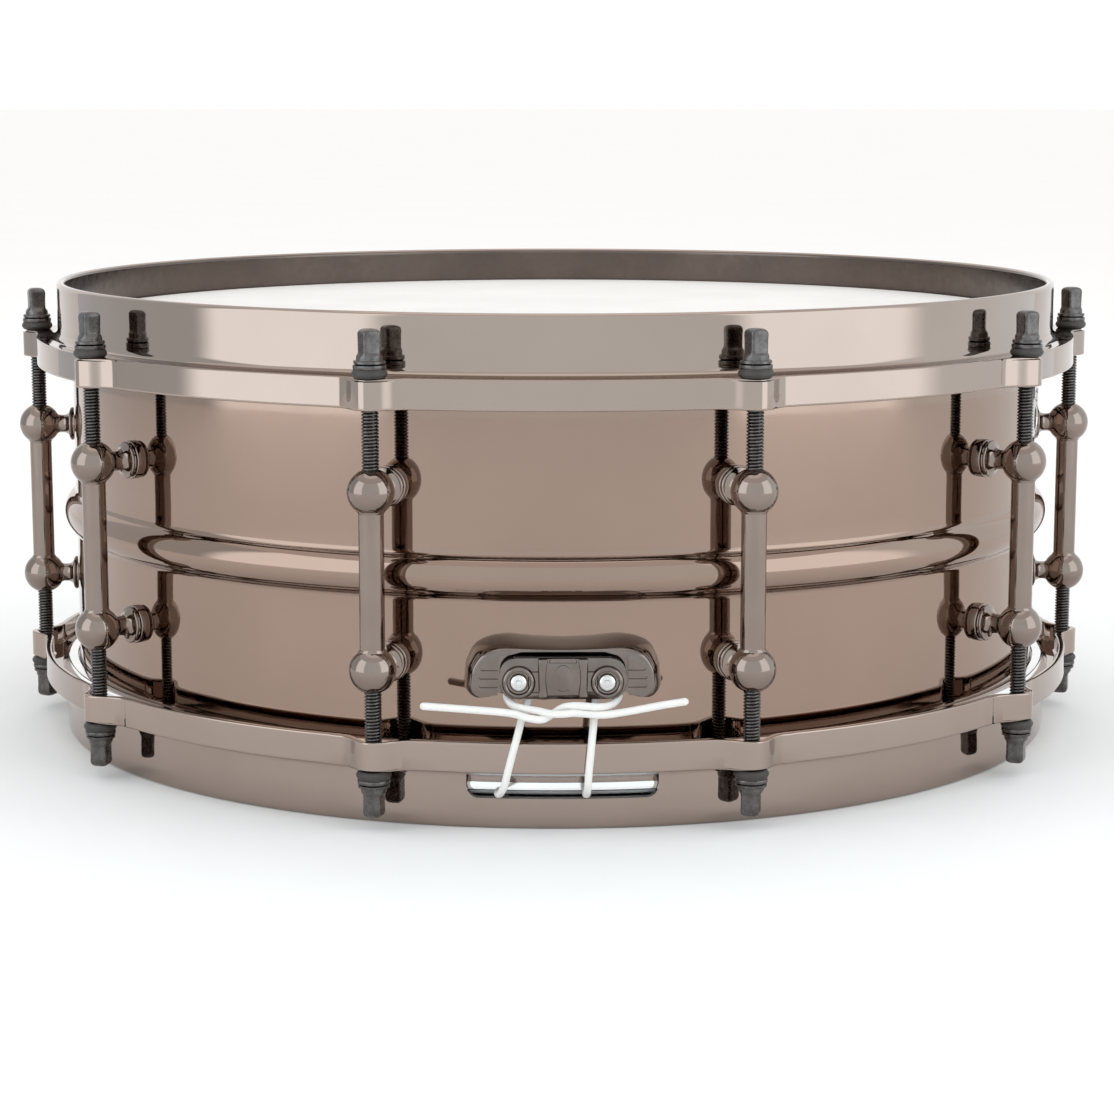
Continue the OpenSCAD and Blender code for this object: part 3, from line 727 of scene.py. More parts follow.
@dataclass
class TieCord:
    """The white cord on the butt side: two strands to the snares and two tails in a half knot."""

    thickness: float = 2.4
    strand_left: Route = (
        (-10.5, -186, 54), (-10.5, -186, 50), (-10.6, -186, 46), (-11, -186.5, 42.5),
        (-12.8, -189, 37.5), (-14.6, -191.3, 31), (-16, -192, 26), (-17.4, -192, 20.5),
        (-18.4, -190.9, 16.2), (-19.6, -186.8, 13), (-20.4, -182.6, 11.5), (-20.4, -178.85, 11.3),
        (-20, -176, 9.4), (-19, -171.5, 8.1), (-17.5, -163.2, 7.8),
    )
    strand_right: Route = (
        (10.4, -186, 54), (10.4, -186, 50), (10.3, -186, 46), (10.2, -186.5, 42.5),
        (9.7, -189.2, 37.5), (9, -191.6, 31), (8.5, -192.5, 26), (8, -192.5, 20.5),
        (7.8, -191.4, 16.2), (7.6, -187.2, 13), (7.4, -183, 11.5), (7.4, -180, 11.3),
        (7.6, -176, 9.4), (8.2, -171.5, 8.1), (9.5, -163.2, 7.8),
    )
    tail_right: Route = (
        (-17.6, -186, 54), (-17.8, -185.9, 50), (-17.8, -185.9, 46.5), (-17.4, -186.5, 43.3),
        (-15.2, -189.6, 41.6), (-11.4, -192, 41.1), (-7.6, -193.6, 40.8), (-4, -195.4, 40.4),
        (-0.4, -196, 40.4), (2.8, -194.8, 40.4), (6.6, -193, 39.8), (12, -192.6, 39.3),
        (18, -192.5, 40), (24, -192.3, 41), (31, -192.2, 42.3), (39, -192, 43.5),
    )
    tail_left: Route = (
        (17.6, -186, 54), (17.8, -185.9, 50), (17.8, -185.9, 46.5), (17.3, -186.5, 43.4),
        (14.9, -189.8, 41.8), (11, -192.3, 41.7), (7, -193.2, 42.2), (3.4, -193.4, 42.4),
        (0, -193, 41.8), (-3, -193, 40), (-6.4, -194.6, 38.4), (-10.6, -194.8, 38.8),
        (-15, -193.4, 39.8), (-20, -192.8, 40.4), (-28, -192.4, 41), (-36, -192.2, 41.6),
        (-44.5, -192, 42.2),
    )

    def tail(self, name: str, route: Route) -> None:
        """Makes one tail as a free cord with a bare end.

        Args:
            name: the piece's name and its node's.
            route: its run, in millimetres.
        """
        path = smooth_route(route, 0.9)
        blank = Blank()
        blank.tube(path, self.thickness / 2)
        thing = blank.make(name + "_braid", CORD, 60)
        settle(thing, "drum", "cord", name)

    def build(self) -> None:
        """Makes both tails and both strands."""
        self.tail("cord_tail_left", self.tail_left)
        self.tail("cord_tail_right", self.tail_right)
        blank = Blank()
        blank.tube(smooth_route(self.strand_left, 0.9), self.thickness / 2)
        blank.tube(smooth_route(self.strand_right, 0.9), self.thickness / 2)
        thing = blank.make("snare_cord_braid", CORD, 60)
        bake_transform(thing)
        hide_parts("snare_cord")
        LOG.info("snare cord bends between drum and snares")


@dataclass
class Shell:
    """The beaded shell with turned-in bearing edges, its badge and vent."""

    radius: float = 177.8
    low: float = 10.15
    high: float = 149.85
    sheet: float = 1.2
    bead_out: float = 4.2
    bead_radius: float = 7.93
    bead_fillet: float = 2.2
    flange: float = 5.0
    bed_depth: float = 2.4
    bed_half: float = 20.0
    vent_angle: float = 72.0
    vent_height: float = 116.0
    badge_half: Flat = (19.8, 9.3)

    def outside(self) -> list[Flat]:
        """Outer profile from the snare edge to the batter edge.

        Returns:
            Points of (radius, height).
        """
        centre = self.radius + self.bead_out - self.bead_radius
        reach = self.bead_radius + self.bead_fillet
        side = self.radius + self.bead_fillet - centre
        rise = math.sqrt(reach * reach - side * side)
        lean = math.degrees(math.atan2(rise, side))
        upper = arc((centre, MIDDLE), self.bead_radius, 0, lean, 14)
        fillet = (self.radius + self.bead_fillet, MIDDLE + rise)
        upper += arc(fillet, self.bead_fillet, 180 + lean, 180, 8)[1:]
        upper += [(self.radius, z) for z in (94.0, 110.0, 125.0, 138.0, 146.0)]
        upper += arc((self.radius - 1.6, self.high - 1.6), 1.6, 0, 80, 5)
        inside = self.high - self.flange
        upper += [(self.radius - self.flange, inside), (self.radius - self.flange, inside - 1.7)]
        return [(r, 2 * MIDDLE - z) for r, z in upper[:0:-1]] + upper

    def bed(self, angle: float, height: float) -> float:
        """How far the snare bed lifts the lower edge.

        Args:
            angle: direction from the front, in radians.
            height: height of the point before it is lifted.

        Returns:
            The lift in millimetres.
        """
        off = abs((math.degrees(angle) + 90) % 180 - 90)
        if off >= self.bed_half or height > 24:
            return 0.0
        share = 0.5 + 0.5 * math.cos(math.pi * off / self.bed_half)
        return self.bed_depth * share * min(1.0, (24 - height) / 12)

    def body(self) -> None:
        """Makes the shell."""
        outer = self.outside()
        inner = [(self.radius - self.sheet, 149 - 3.5), (self.radius - self.sheet, MIDDLE + 9)]
        centre = (self.radius + self.bead_out - self.bead_radius, MIDDLE)
        inner += arc(centre, self.bead_radius - self.sheet, 50, -50, 12)
        inner += [(self.radius - self.sheet, MIDDLE - 9), (self.radius - self.sheet, 14.5)]
        profile = outer + inner
        columns = []
        for step in range(360):
            angle = math.radians(step)
            columns.append([polar(r, angle, z + self.bed(angle, z)) for r, z in profile])
        blank = Blank()
        blank.grid(columns, True, True)
        settle(blank.make("shell_body", BLACK_NICKEL, 50), "drum", "black_nickel", "shell")

    def badge(self) -> None:
        """Makes the plain badge with a raised border round the vent."""
        blank = Blank()
        half_w, half_h = self.badge_half
        outline = rounded(self.badge_half, 3.0, 6)
        turn = math.radians(self.vent_angle)
        rings = []
        for inset, proud in ((0, 0.0), (0.1, 0.4), (0.4, 0.5), (1.2, 0.5), (1.5, 0.3), (6.0, 0.3)):
            ring = []
            for x, z in outline:
                scale_x, scale_z = (half_w - inset) / half_w, (half_h - inset) / half_h
                angle = turn + x * scale_x / self.radius
                reach = self.radius + proud
                height = self.vent_height + z * scale_z
                ring.append(polar(reach, angle, height))
            rings.append(ring)
        blank.grid(rings)
        blank.cap(rings[-1])
        settle(blank.make("badge_plate", BRIGHT, 30), "drum", "bright_nickel", "badge")
        ring = Blank()
        seat = self.radius
        profile = [(4, seat - 2.4), (4, seat + 1.0), (4.3, seat + 1.35), (5.2, seat + 1.4)]
        profile += [(6.3, seat + 1.1), (7.0, seat + 0.55), (5, seat + 0.3)]
        profile += [(5, seat - 1.2), (6.5, seat - 1.3), (6.5, seat - 2.2), (6.2, seat - 2.4)]
        ring.lathe(profile, outward(turn, self.vent_height), 48, True)
        settle(ring.make("vent_ring", VENT_METAL, 35), "drum", "bright_nickel", "vent_grommet")

    def build(self) -> None:
        """Makes the shell and its trim."""
        self.body()
        self.badge()


@dataclass
class Lugs:
    """Ten tube lugs: ball posts and tubes; their screws inside the shell are kept from the frame.
    """

    ball: float = 7.5
    ball_rise: float = 28.2
    tube: float = 4.0
    shell: float = 177.8

    def post_profile(self) -> list[Flat]:
        """Profile of a post and its ball, as (radius, distance from the axis)."""
        s = self.shell
        profile = [(0.0, s - 0.8), (6.1, s - 0.8), (6.5, s - 0.4)]
        profile += arc((6.1, s + 1.2), 0.4, 0, 90, 4) + [(5.5, s + 1.75), (5.4, s + 2.1)]
        profile += arc((5.6, s + 2.85), 0.62, -60, 90, 8) + [(4.7, s + 3.7)]
        profile += arc((5.6, s + 6.0), 2.3, 215, 180, 6)
        start = math.degrees(math.asin(3.3 / self.ball))
        ball = arc((0.0, ROD_CIRCLE), self.ball, -90 + start + 4, 90, 30)
        neck_end = ball[0]
        profile += [(3.25, neck_end[1] - 1.3), (3.4, neck_end[1] - 0.5)]
        return profile + ball[:-1] + [(0.0, ROD_CIRCLE + self.ball)]

    def posts(self, height: float, name: str, node: str) -> None:
        """Makes ten posts with their balls.

        Args:
            height: height of their axes.
            name: the piece's name.
            node: the node they stand for.
        """
        blank = Blank()
        collar = [(2.9, 7.62), (3.9, 7.3), (4.5, 6.4), (4.55, 5.6)]
        for i in range(LUGS):
            blank.lathe(self.post_profile(), outward(lug_angle(i), height), 48)
            place = at_rod(i, height, height > MIDDLE) @ Matrix.Translation((0, 0, -0.35))
            blank.lathe(collar, place, 32)
        settle(blank.make(name, LUG_NICKEL, 35), "drum", "black_nickel", node)

    def tubes(self) -> None:
        """Makes ten tubes between the balls."""
        blank = Blank()
        half = self.ball_rise - 5.8
        wall = [(self.tube, z) for z in (-half, 0, half)]
        profile = [(3.3, -half), *wall, (3.3, half)]
        for i in range(LUGS):
            blank.lathe(profile, at_rod(i, MIDDLE), 40, True)
        settle(blank.make("lug_tube_set", LUG_NICKEL, 35), "drum", "black_nickel", "lug_tubes")

    def build(self) -> None:
        """Makes posts and tubes."""
        self.posts(MIDDLE + self.ball_rise, "lug_post_set_upper", "lug_posts_upper")
        self.posts(MIDDLE - self.ball_rise, "lug_post_set_lower", "lug_posts_lower")
        self.tubes()


@dataclass
class Hoop:
    """A hoop with ears, washers and tension rods, drawn rim up with the skirt's edge at zero."""

    side: Side
    height: float = 29.5
    rim_in: float = 179.8
    rim_out: float = 182.8
    web_top: float = 9.8
    web: float = 3.5
    fillet: float = 3.0
    skirt: float = 190.4
    skirt_wall: float = 2.2
    nose: float = 5.25
    ear_half: float = 14.0
    ear_taper: float = 1.1
    thread: float = 2.745
    pitch: float = 1.058
    thread_depth: float = 0.62

    @property
    def flipped(self) -> bool:
        """True for the hoop under the drum."""
        return self.side is Side.SNARE

    @property
    def web_height(self) -> float:
        """Height of the face that the washers press on."""
        return 19.7 if self.flipped else 143.6

    def band(self, nose: float, half: float, base: float) -> tuple[list[float], list[float]]:
        """One ear's outline in polar form about the drum's axis.

        Args:
            nose: how far the ear stands out past the rod's axis.
            half: half width where the ear leaves the skirt.
            base: radius of the skirt's face there.

        Returns:
            Angles in radians from the rod, and radii.
        """
        foot = base - ROD_CIRCLE
        angles, radii = [], []
        for k in range(-36, 37):
            v = half * k / 36
            bell = (0.5 + 0.5 * math.cos(math.pi * abs(k) / 36)) ** 1.25
            u = foot + (nose - foot) * bell
            angles.append(math.atan2(v, ROD_CIRCLE + u))
            radii.append(math.hypot(ROD_CIRCLE + u, v))
        return angles, radii

    def profile(self, out: float, inner: float) -> list[Flat]:
        """Closed profile of the hoop where its skirt has these radii.

        Args:
            out: radius of the skirt's or ear's outer face.
            inner: radius of its inner face.

        Returns:
            Points of (radius, height).
        """
        top, low = self.height, self.web_top - self.web
        edge = 0.6
        points = [(self.rim_in, z) for z in (low, 14.0, top - 6, top - 2)]
        lip = (self.rim_out - self.rim_in) / 2
        points += arc((self.rim_in + lip, top - lip), lip, 180, 0, 14)
        points += [(self.rim_out, top - 6), (self.rim_out, self.web_top + self.fillet + 4)]
        root = self.rim_out + self.fillet
        points += arc((root, self.web_top + self.fillet), self.fillet, 180, 270, 9)
        neck = out - self.ear_taper * (out - self.skirt) / (198.0 - self.skirt)
        points += [(root + (neck - self.rim_out - self.fillet) * 0.6, self.web_top)]
        points += arc((neck - edge, self.web_top - edge), edge, 90, 0, 4)
        points += [(out, self.web_top - edge - 0.25), (out, 5.0), (out, 0.7)]
        points += arc((out - 0.4, 0.4), 0.4, 0, -90, 3)
        points += arc((inner + 0.4, 0.4), 0.4, 270, 180, 3)
        points += [(inner, low - 0.8), (inner - 0.8, low)]
        return points

    def rows(self, points: Sequence[Flat]) -> list[Flat]:
        """Turns local heights into heights over the resting plane."""
        if self.flipped:
            return [(r, self.height - z) for r, z in points]
        return [(r, 163.3 - self.height + z) for r, z in points]

    def ring(self) -> None:
        """Makes the hoop with its ears drawn out of the skirt."""
        angles, outer = self.band(self.nose, self.ear_half, self.skirt)
        inner_angles, inner = self.band(3.05, self.ear_half - 1.6, self.skirt - self.skirt_wall)
        plain = self.skirt - self.skirt_wall
        columns = []
        for i in range(LUGS):
            walls = [float(np.interp(a, inner_angles, inner, plain, plain)) for a in angles]
            at = [(lug_angle(i) + a, r, wall) for a, r, wall in zip(angles, outer, walls)]
            free = 2 * math.pi / LUGS - 2 * angles[-1]
            edge = lug_angle(i) + angles[-1]
            at += [(edge + free * k / 30, self.skirt, plain) for k in range(1, 30)]
            for angle, out, ins in at:
                profile = self.rows(self.profile(out, ins))
                columns.append([polar(r, angle, z) for r, z in profile])
        blank = Blank()
        blank.grid(columns, True, True)
        name = f"{self.side.value}_hoop"
        thing = blank.make(name + "_ring", HOOP_NICKEL, 38)
        if self.flipped:
            for back in (False, True):
                carve(thing, self.gate(back), 38)
        self.darken_inside(thing)
        settle(thing, name, "black_nickel", name)

    def darken_inside(self, thing: bpy.types.Object) -> None:
        """Gives the rim's inner wall a darker, rougher copy of the hoop's nickel."""
        thing.data.materials.append(RIM_INSIDE.build())
        limit = (self.rim_in + 0.25) * MM
        for face in thing.data.polygons:
            if math.hypot(face.center.x, face.center.y) < limit:
                face.material_index = 1

    def gate(self, back: bool) -> bpy.types.Object:
        """Cutter for a snare gate in the rim wall."""
        blank = Blank()
        outline: list[Flat] = []
        for cx, cz, start in CORNERS:
            corner = 3.9 if cz < 0 else 1.0
            centre_z = 14.25 + cz * (4.35 - corner)
            outline += arc((cx * (30.5 - corner), centre_z), corner, start, start + 90, 8)
        place = Matrix.Rotation(math.pi / 2, 4, "X")
        if back:
            place = Matrix.Rotation(math.pi, 4, "Z") @ place
        blank.solid(outline, 172.0, 186.5, 0.0, place)
        return blank.make("gate_cutter", None)

    def washers(self) -> None:
        """Makes the nylon and the steel washers."""
        for kind, finish, slot, low, radius, thick in (
            ("nylon", NYLON, "nylon", 0.0, 5.6, 2.8),
            ("steel", BLACKENED, "blackened_steel", 2.8, 5.2, 1.4),
        ):
            blank = Blank()
            r, top = radius, low + thick
            ease = 0.35
            profile = [(2.9, low + 0.02), (r - ease, low + 0.02), (r - 0.1, low + 0.12),
                (r, low + ease), (r, top - ease)]
            if kind == "nylon":
                profile = [(2.9, low + 0.02), (r - 0.9, low + 0.02), (r - 0.5, low + 0.3),
                    (r, low + 1.1), (r, low + 1.5)]
                profile += [(r - 0.2, top - 0.7), (r - 0.5, top - 0.35), (r - 0.55, top - 0.02),
                    (2.9, top - 0.02)]
            else:
                profile += [(r - 0.1, top - 0.12), (r - ease, top - 0.02), (2.9, top - 0.02)]
            for i in range(LUGS):
                blank.lathe(profile, at_rod(i, self.web_height, self.flipped), 40, True)
            name = f"{self.side.value}_washers_{kind}"
            settle(blank.make(name + "_set", finish, 30), f"{self.side.value}_hoop", slot, name)

    def thread_radius(self, angle: float, z: float, end: float) -> float:
        """Radius of the rod's thread at an angle and height."""
        share = (z / self.pitch - angle / (2 * math.pi)) % 1.0
        ridge = min(1.0, 1.6 * (1 - abs(2 * share - 1)))
        chamfer = min(0.0, (z - end) * 0.6 - 0.6)
        return self.thread - self.thread_depth * (1 - ridge) + chamfer

    def head_rings(self) -> list[list[Vector]]:
        """Rings of the square head above its flange."""
        shape = (
            (4.2, 2.7, 2.0), (4.22, 4.3, 2.0), (4.45, 4.65, 2.0), (4.6, 4.95, 2.0),
            (5.3, 4.98, 2.0), (5.5, 4.8, 2.0), (5.55, 4.2, 2.0), (5.75, 4.1, 2.0), (6.3, 4.1, 2.05),
            (6.8, 3.98, 2.2), (7.3, 3.6, 2.6), (7.7, 3.2, 3.6), (8.1, 2.98, 5.5), (8.6, 2.9, 8.0),
            (9.4, 2.86, 10.0), (11.5, 2.88, 10.0), (13.2, 2.95, 10.0), (13.9, 2.92, 9.0),
            (14.4, 2.78, 7.0), (14.8, 2.5, 5.5), (15.1, 2.05, 4.0), (15.25, 1.4, 3.0),
            (15.3, 0.7, 2.5), (15.3, 0.01, 2.0),
        )
        rings = []
        for z, half, power in shape:
            ring = []
            for k in range(48):
                a = 2 * math.pi * (k + 0.5) / 48
                c, s = math.cos(a), math.sin(a)
                scale = half / (abs(c) ** power + abs(s) ** power) ** (1 / power)
                ring.append(Vector((c * scale, s * scale, z)))
            rings.append(ring)
        return rings

    def rods(self) -> None:
        """Makes ten tension rods, each on its own body."""
        shank = 49.5 if self.flipped else 52.8
        end = 4.2 - shank
        blank = Blank()
        count = int(shank / self.pitch * 8)
        rings = []
        for i in range(count + 1):
            z = end + shank * i / count
            ring = []
            for a in turns(18):
                spoke = Vector((math.cos(a), math.sin(a), 0)) * self.thread_radius(a, z, end)
                ring.append(Vector((0, 0, z)) + spoke)
            rings.append(ring)
        blank.grid(rings)
        blank.cap(rings[0])
        blank.grid(self.head_rings())
        pattern = blank.make(f"{self.side.value}_rod_pattern", BLACKENED, 48)
        dice = random.Random(3 if self.flipped else 5)
        for i in range(LUGS):
            name = f"{self.side.value}_rod_{i + 1:02d}"
            thing = bpy.data.objects.new(name + "_turned", pattern.data)
            bpy.context.scene.collection.objects.link(thing)
            place = at_rod(i, self.web_height, self.flipped)
            facing = lug_angle(i) * (1 if self.flipped else -1)
            spin = Matrix.Rotation(facing + math.radians(dice.uniform(8, 34)), 4, "Z")
            place = place @ spin
            place.translation *= MM
            thing.matrix_world = place
            settle(thing, name, "blackened_steel", name)
        bpy.data.objects.remove(pattern)

    def build(self) -> None:
        """Makes the hoop and what holds it."""
        self.ring()
        self.washers()
        self.rods()


@dataclass
class Head:
    """A drumhead: its film and the flesh hoop that holds it."""

    side: Side
    edge: float = 149.85
    radius: float = 178.2
    film: float = 0.3
    flesh_top: float = 140.1
    flesh_width: float = 6.0
    flesh_height: float = 6.2

    def turn(self, profile: Sequence[Flat]) -> list[Flat]:
        """Flips a profile for the snare side."""
        if self.side is Side.BATTER:
            return list(profile)
        return [(r, 2 * MIDDLE - z) for r, z in profile]

    def build(self) -> None:
        """Makes the film and the flesh hoop."""
        top, r = self.edge + self.film, self.radius
        outside = [(0.001, top), (40, top), (90, top), (140, top), (168, top), (174.5, top)]
        outside += arc((r - 1.8, top - 1.8), 1.8, 90, 0, 8)
        outside += [(r, 146), (r + 0.1, 141), (r + 0.1, 135)]
        inside = [(r - 0.2, 135), (r - 0.2, 141), (r - 0.3, 146)]
        inside += arc((r - 1.8, top - 1.8), 1.5, 0, 90, 8)
        inside += [(168, self.edge), (90, self.edge), (0.001, self.edge)]
        name = f"{self.side.value}_head"
        coated = self.side is Side.BATTER
        blank = Blank()
        blank.lathe(self.turn(outside + inside), Matrix.Identity(4), 256)
        settle(
            blank.make(name + "_film", COATED if coated else CLEAR, 40),
            "drum", "coated_film" if coated else "clear_film", name,
        )
        low, high = self.flesh_top - self.flesh_height, self.flesh_top
        a, b = r + 0.05, r + self.flesh_width
        loop = [(a, low + 0.5), (a, high - 0.5), (a + 0.5, high), (b - 0.6, high),
            (b - 0.1, high - 0.4), (b, high - 0.9)]
        loop += [(b, high - 2.2), (b - 0.35, high - 2.6), (b - 0.35, low + 2.4), (b, low + 2.0),
            (b, low + 0.8)]
        loop += [(b - 0.3, low + 0.2), (b - 0.8, low), (a + 0.5, low)]
        if not coated:
            loop = [(a, low + 0.5), (a, high - 0.4), (a + 0.4, high), (b - 0.5, high),
                (b - 0.15, high - 0.15)]
            loop += [(b, high - 0.5), (b, high - 0.8), (b, low + 3.0), (b, low + 2.7),
                (b - 0.25, low + 2.35)]
            loop += [(b - 1.6, low + 0.8), (b - 2.2, low + 0.2), (b - 2.8, low), (a + 0.5, low)]
        ring = Blank()
        ring.lathe(self.turn(loop), Matrix.Identity(4), 300, True)
        node = f"{self.side.value}_flesh_hoop"
        settle(ring.make(node + "_ring", ALUMINIUM, 30), "drum", "aluminium", node)
        if not coated:
            collar = Blank()
            wall = [(178.35, 11.6), (179.1, 11.6), (179.3, 11.9), (179.3, 14.0), (179.1, 14.4),
                (178.35, 16.2)]
            collar.lathe(wall, Matrix.Identity(4), 300, True)
            settle(collar.make("snare_head_collar", ALUMINIUM, 30), "drum", "aluminium")


@dataclass
class ButtPlate:
    """The butt plate: winged base, clamp with two bosses and its screws. It faces -Y."""

    face: float = 189.0
    floor: float = 184.6
    shell: float = 177.8
    clear: float = 192.0
    screw_x: float = 13.8
    screw_z: float = 49.0
    wing: Sequence[Flat] = (
        (0, 45), (18, 45), (24, 43.6), (28.6, 43.2), (31.1, 46), (30.9, 50), (30.2, 54), (27, 59.6),
        (20, 61.8), (10, 60.7), (0, 60.2), (-10, 60.7), (-20, 61.8), (-27, 59.4), (-30.2, 54),
        (-30.9, 50), (-31.1, 46), (-28.6, 43.2), (-24, 43.6), (-18, 45),
    )
    front: Sequence[Flat] = (
        (0, 45.2), (18, 45.2), (23, 44.6), (26.4, 44.4), (28.2, 46.4), (28.1, 50), (27.4, 53.4),
        (24.4, 56.9), (19, 58.6), (10, 59.2), (0, 59.2), (-10, 59.2), (-19, 58.6), (-24.4, 56.8),
        (-27.4, 53.4), (-28.1, 50), (-28.2, 46.4), (-26.4, 44.4), (-23, 44.6), (-18, 45.2),
    )

    def facing(self) -> Matrix:
        """Frame whose XY is the drum's XZ and whose Z points to the front."""
        return Matrix.Rotation(math.pi / 2, 4, "X")

    def cut(self, thing: bpy.types.Object, outline: Sequence[Flat], floor: float) -> None:
        """Cuts an outline into the base from the front.

        Args:
            thing: the base.
            outline: the outline that is cut away.
            floor: distance of the cut's floor from the drum's axis.
        """
        blank = Blank()
        blank.solid(outline, floor, self.clear, 0.0, self.facing())
        carve(thing, blank.make("cutter", None), 42)

    def base(self) -> None:
        """Makes the base: wings that swell out of the shell, grooves and the recess."""
        outer, inner = smooth_outline(self.wing, 200), smooth_outline(self.front, 200)
        rings = []
        steps = (
            (0.0, -0.03), (0.0, 0.08), (0.03, 0.2), (0.1, 0.38), (0.22, 0.58), (0.38, 0.75),
            (0.58, 0.88), (0.78, 0.96), (0.93, 0.993), (1.0, 1.0),
        )
        for share, rise in steps:
            ring = []
            for (x0, z0), (x1, z1) in zip(outer, inner):
                seat = math.sqrt(self.shell ** 2 - x0 * x0)
                reach = seat + (self.face - seat) * rise
                ring.append(Vector((x0 + (x1 - x0) * share, -reach, z0 + (z1 - z0) * share)))
            rings.append(ring)
        blank = Blank()
        back = []
        for x, z in outer:
            seat = math.sqrt(self.shell ** 2 - x * x)
            back.append(Vector((x * 0.985, 2.5 - seat, 52 + (z - 52) * 0.97)))
        blank.grid([back] + rings)
        blank.cap(rings[-1])
        blank.cap(back)
        thing = blank.make("butt_base_casting", CAST_NICKEL, 42)
        self.cut(thing, rounded((20.4, 8.8), 2.4, 5, (0, 48.9)), self.floor)
        self.cut(thing, [(-20.4, 38), (20.4, 38), (20.4, 48), (-20.4, 48)], self.floor)
        opening = [(-15.5, 55.0), (15.5, 55.0), (16.5, 57.6), (13, 58.6), (-13, 58.6)]
        self.cut(thing, opening + [(-16.5, 57.6)], 179.5)
        for side, turn in ((-1, 90), (1, -90)):
            for row, z in enumerate((53.3, 50.6, 47.9)):
                near, far = 20.6, 25.6 - 0.5 * (row == 0)
                outline = arc((side * far, z), 0.75, turn, turn + 180, 8)
                outline += arc((side * near, z), 0.75, turn + 180, turn + 360, 8)
                self.cut(thing, outline, self.face - 0.9)
        settle(thing, "drum", "black_nickel", "butt_base")

    def clamp(self) -> None:
        """Makes the clamp: bosses, bar, centre block with waisted ridges and a plain oval."""
        blank = Blank()
        place = self.facing()
        for side in (-1, 1):
            seat = place @ Matrix.Translation((side * self.screw_x, self.screw_z, 0))
            profile = [(1.9, 187.3), (4.7, 187.3), (5.25, 187.7), (5.3, 189.6), (5.1, 190.4),
                (4.7, 190.85)]
            profile += [(4.2, 191.0), (3.8, 190.8), (3.6, 190.3), (3.55, 189.4), (1.9, 189.3)]
            blank.lathe(profile, seat, 48, True)
        blank.solid(rounded((19.8, 6.5), 4.9, 8, (0, 50.0)), 187.3, 188.7, 0.3, place)
        bar = [(-11, 45.6), (11, 45.6), (11, 52.4), (-11, 52.4)]
        blank.solid(bar, 187.3, 189.9, 0.7, place)
        blank.solid([(-7.6, 44.4), (7.6, 44.4), (7.9, 56.8), (-7.9, 56.8)], 187.3, 190.7, 0.9,
            place)
        for side in (-1, 1):
            outline: list[Flat] = []
            heights = [44.5 + 12.2 * k / 12 for k in range(13)]
            waist = [0.75 + 0.75 * ((z - 50.6) / 6.1) ** 2 for z in heights]
            outline += [(side * 6.3 + w, z) for z, w in zip(heights, waist)]
            outline += [(side * 6.3 - w, z) for z, w in zip(heights[::-1], waist[::-1])]
            blank.solid(outline, 190.2, 191.9, 0.45, place)
        oval = [(3.0 * math.cos(a), 50.6 + 4.2 * math.sin(a)) for a in turns(40)]
        blank.solid(oval, 190.2, 191.5, 0.5, place)
        blank.solid([(-4.4, 55.4), (4.4, 55.4), (3.8, 56.9), (-3.8, 56.9)], 190.2, 191.4, 0.35,
            place)
        settle(blank.make("butt_clamp_casting", CAST_NICKEL, 35), "butt_clamp", "black_nickel",
            "butt_clamp")

    def screws(self) -> None:
        """Makes the two bright clamp screws with a small square drive."""
        for side, name in ((-1, "butt_screw_left"), (1, "butt_screw_right")):
            blank = Blank()
            seat = self.facing() @ Matrix.Translation((side * self.screw_x, self.screw_z, 0))
            profile = [(1.8, 182), (1.8, 189.3), (2.8, 189.35), (2.9, 189.7), (2.85, 190.2),
                (2.5, 190.8), (1.9, 191.15)]
            profile += [(1.4, 191.25), (1.35, 190.3), (0.001, 190.3)]
            blank.lathe(profile, seat, 40)
            blank.solid([(-0.8, -0.8), (0.8, -0.8), (0.8, 0.8), (-0.8, 0.8)], 190.1, 191.0, 0.2,
                seat)
            settle(blank.make(name + "_head", BRIGHT, 35), name, "bright_nickel", name)

    def build(self) -> None:
        """Makes the base, the clamp and the screws."""
        self.base()
        self.clamp()
        self.screws()


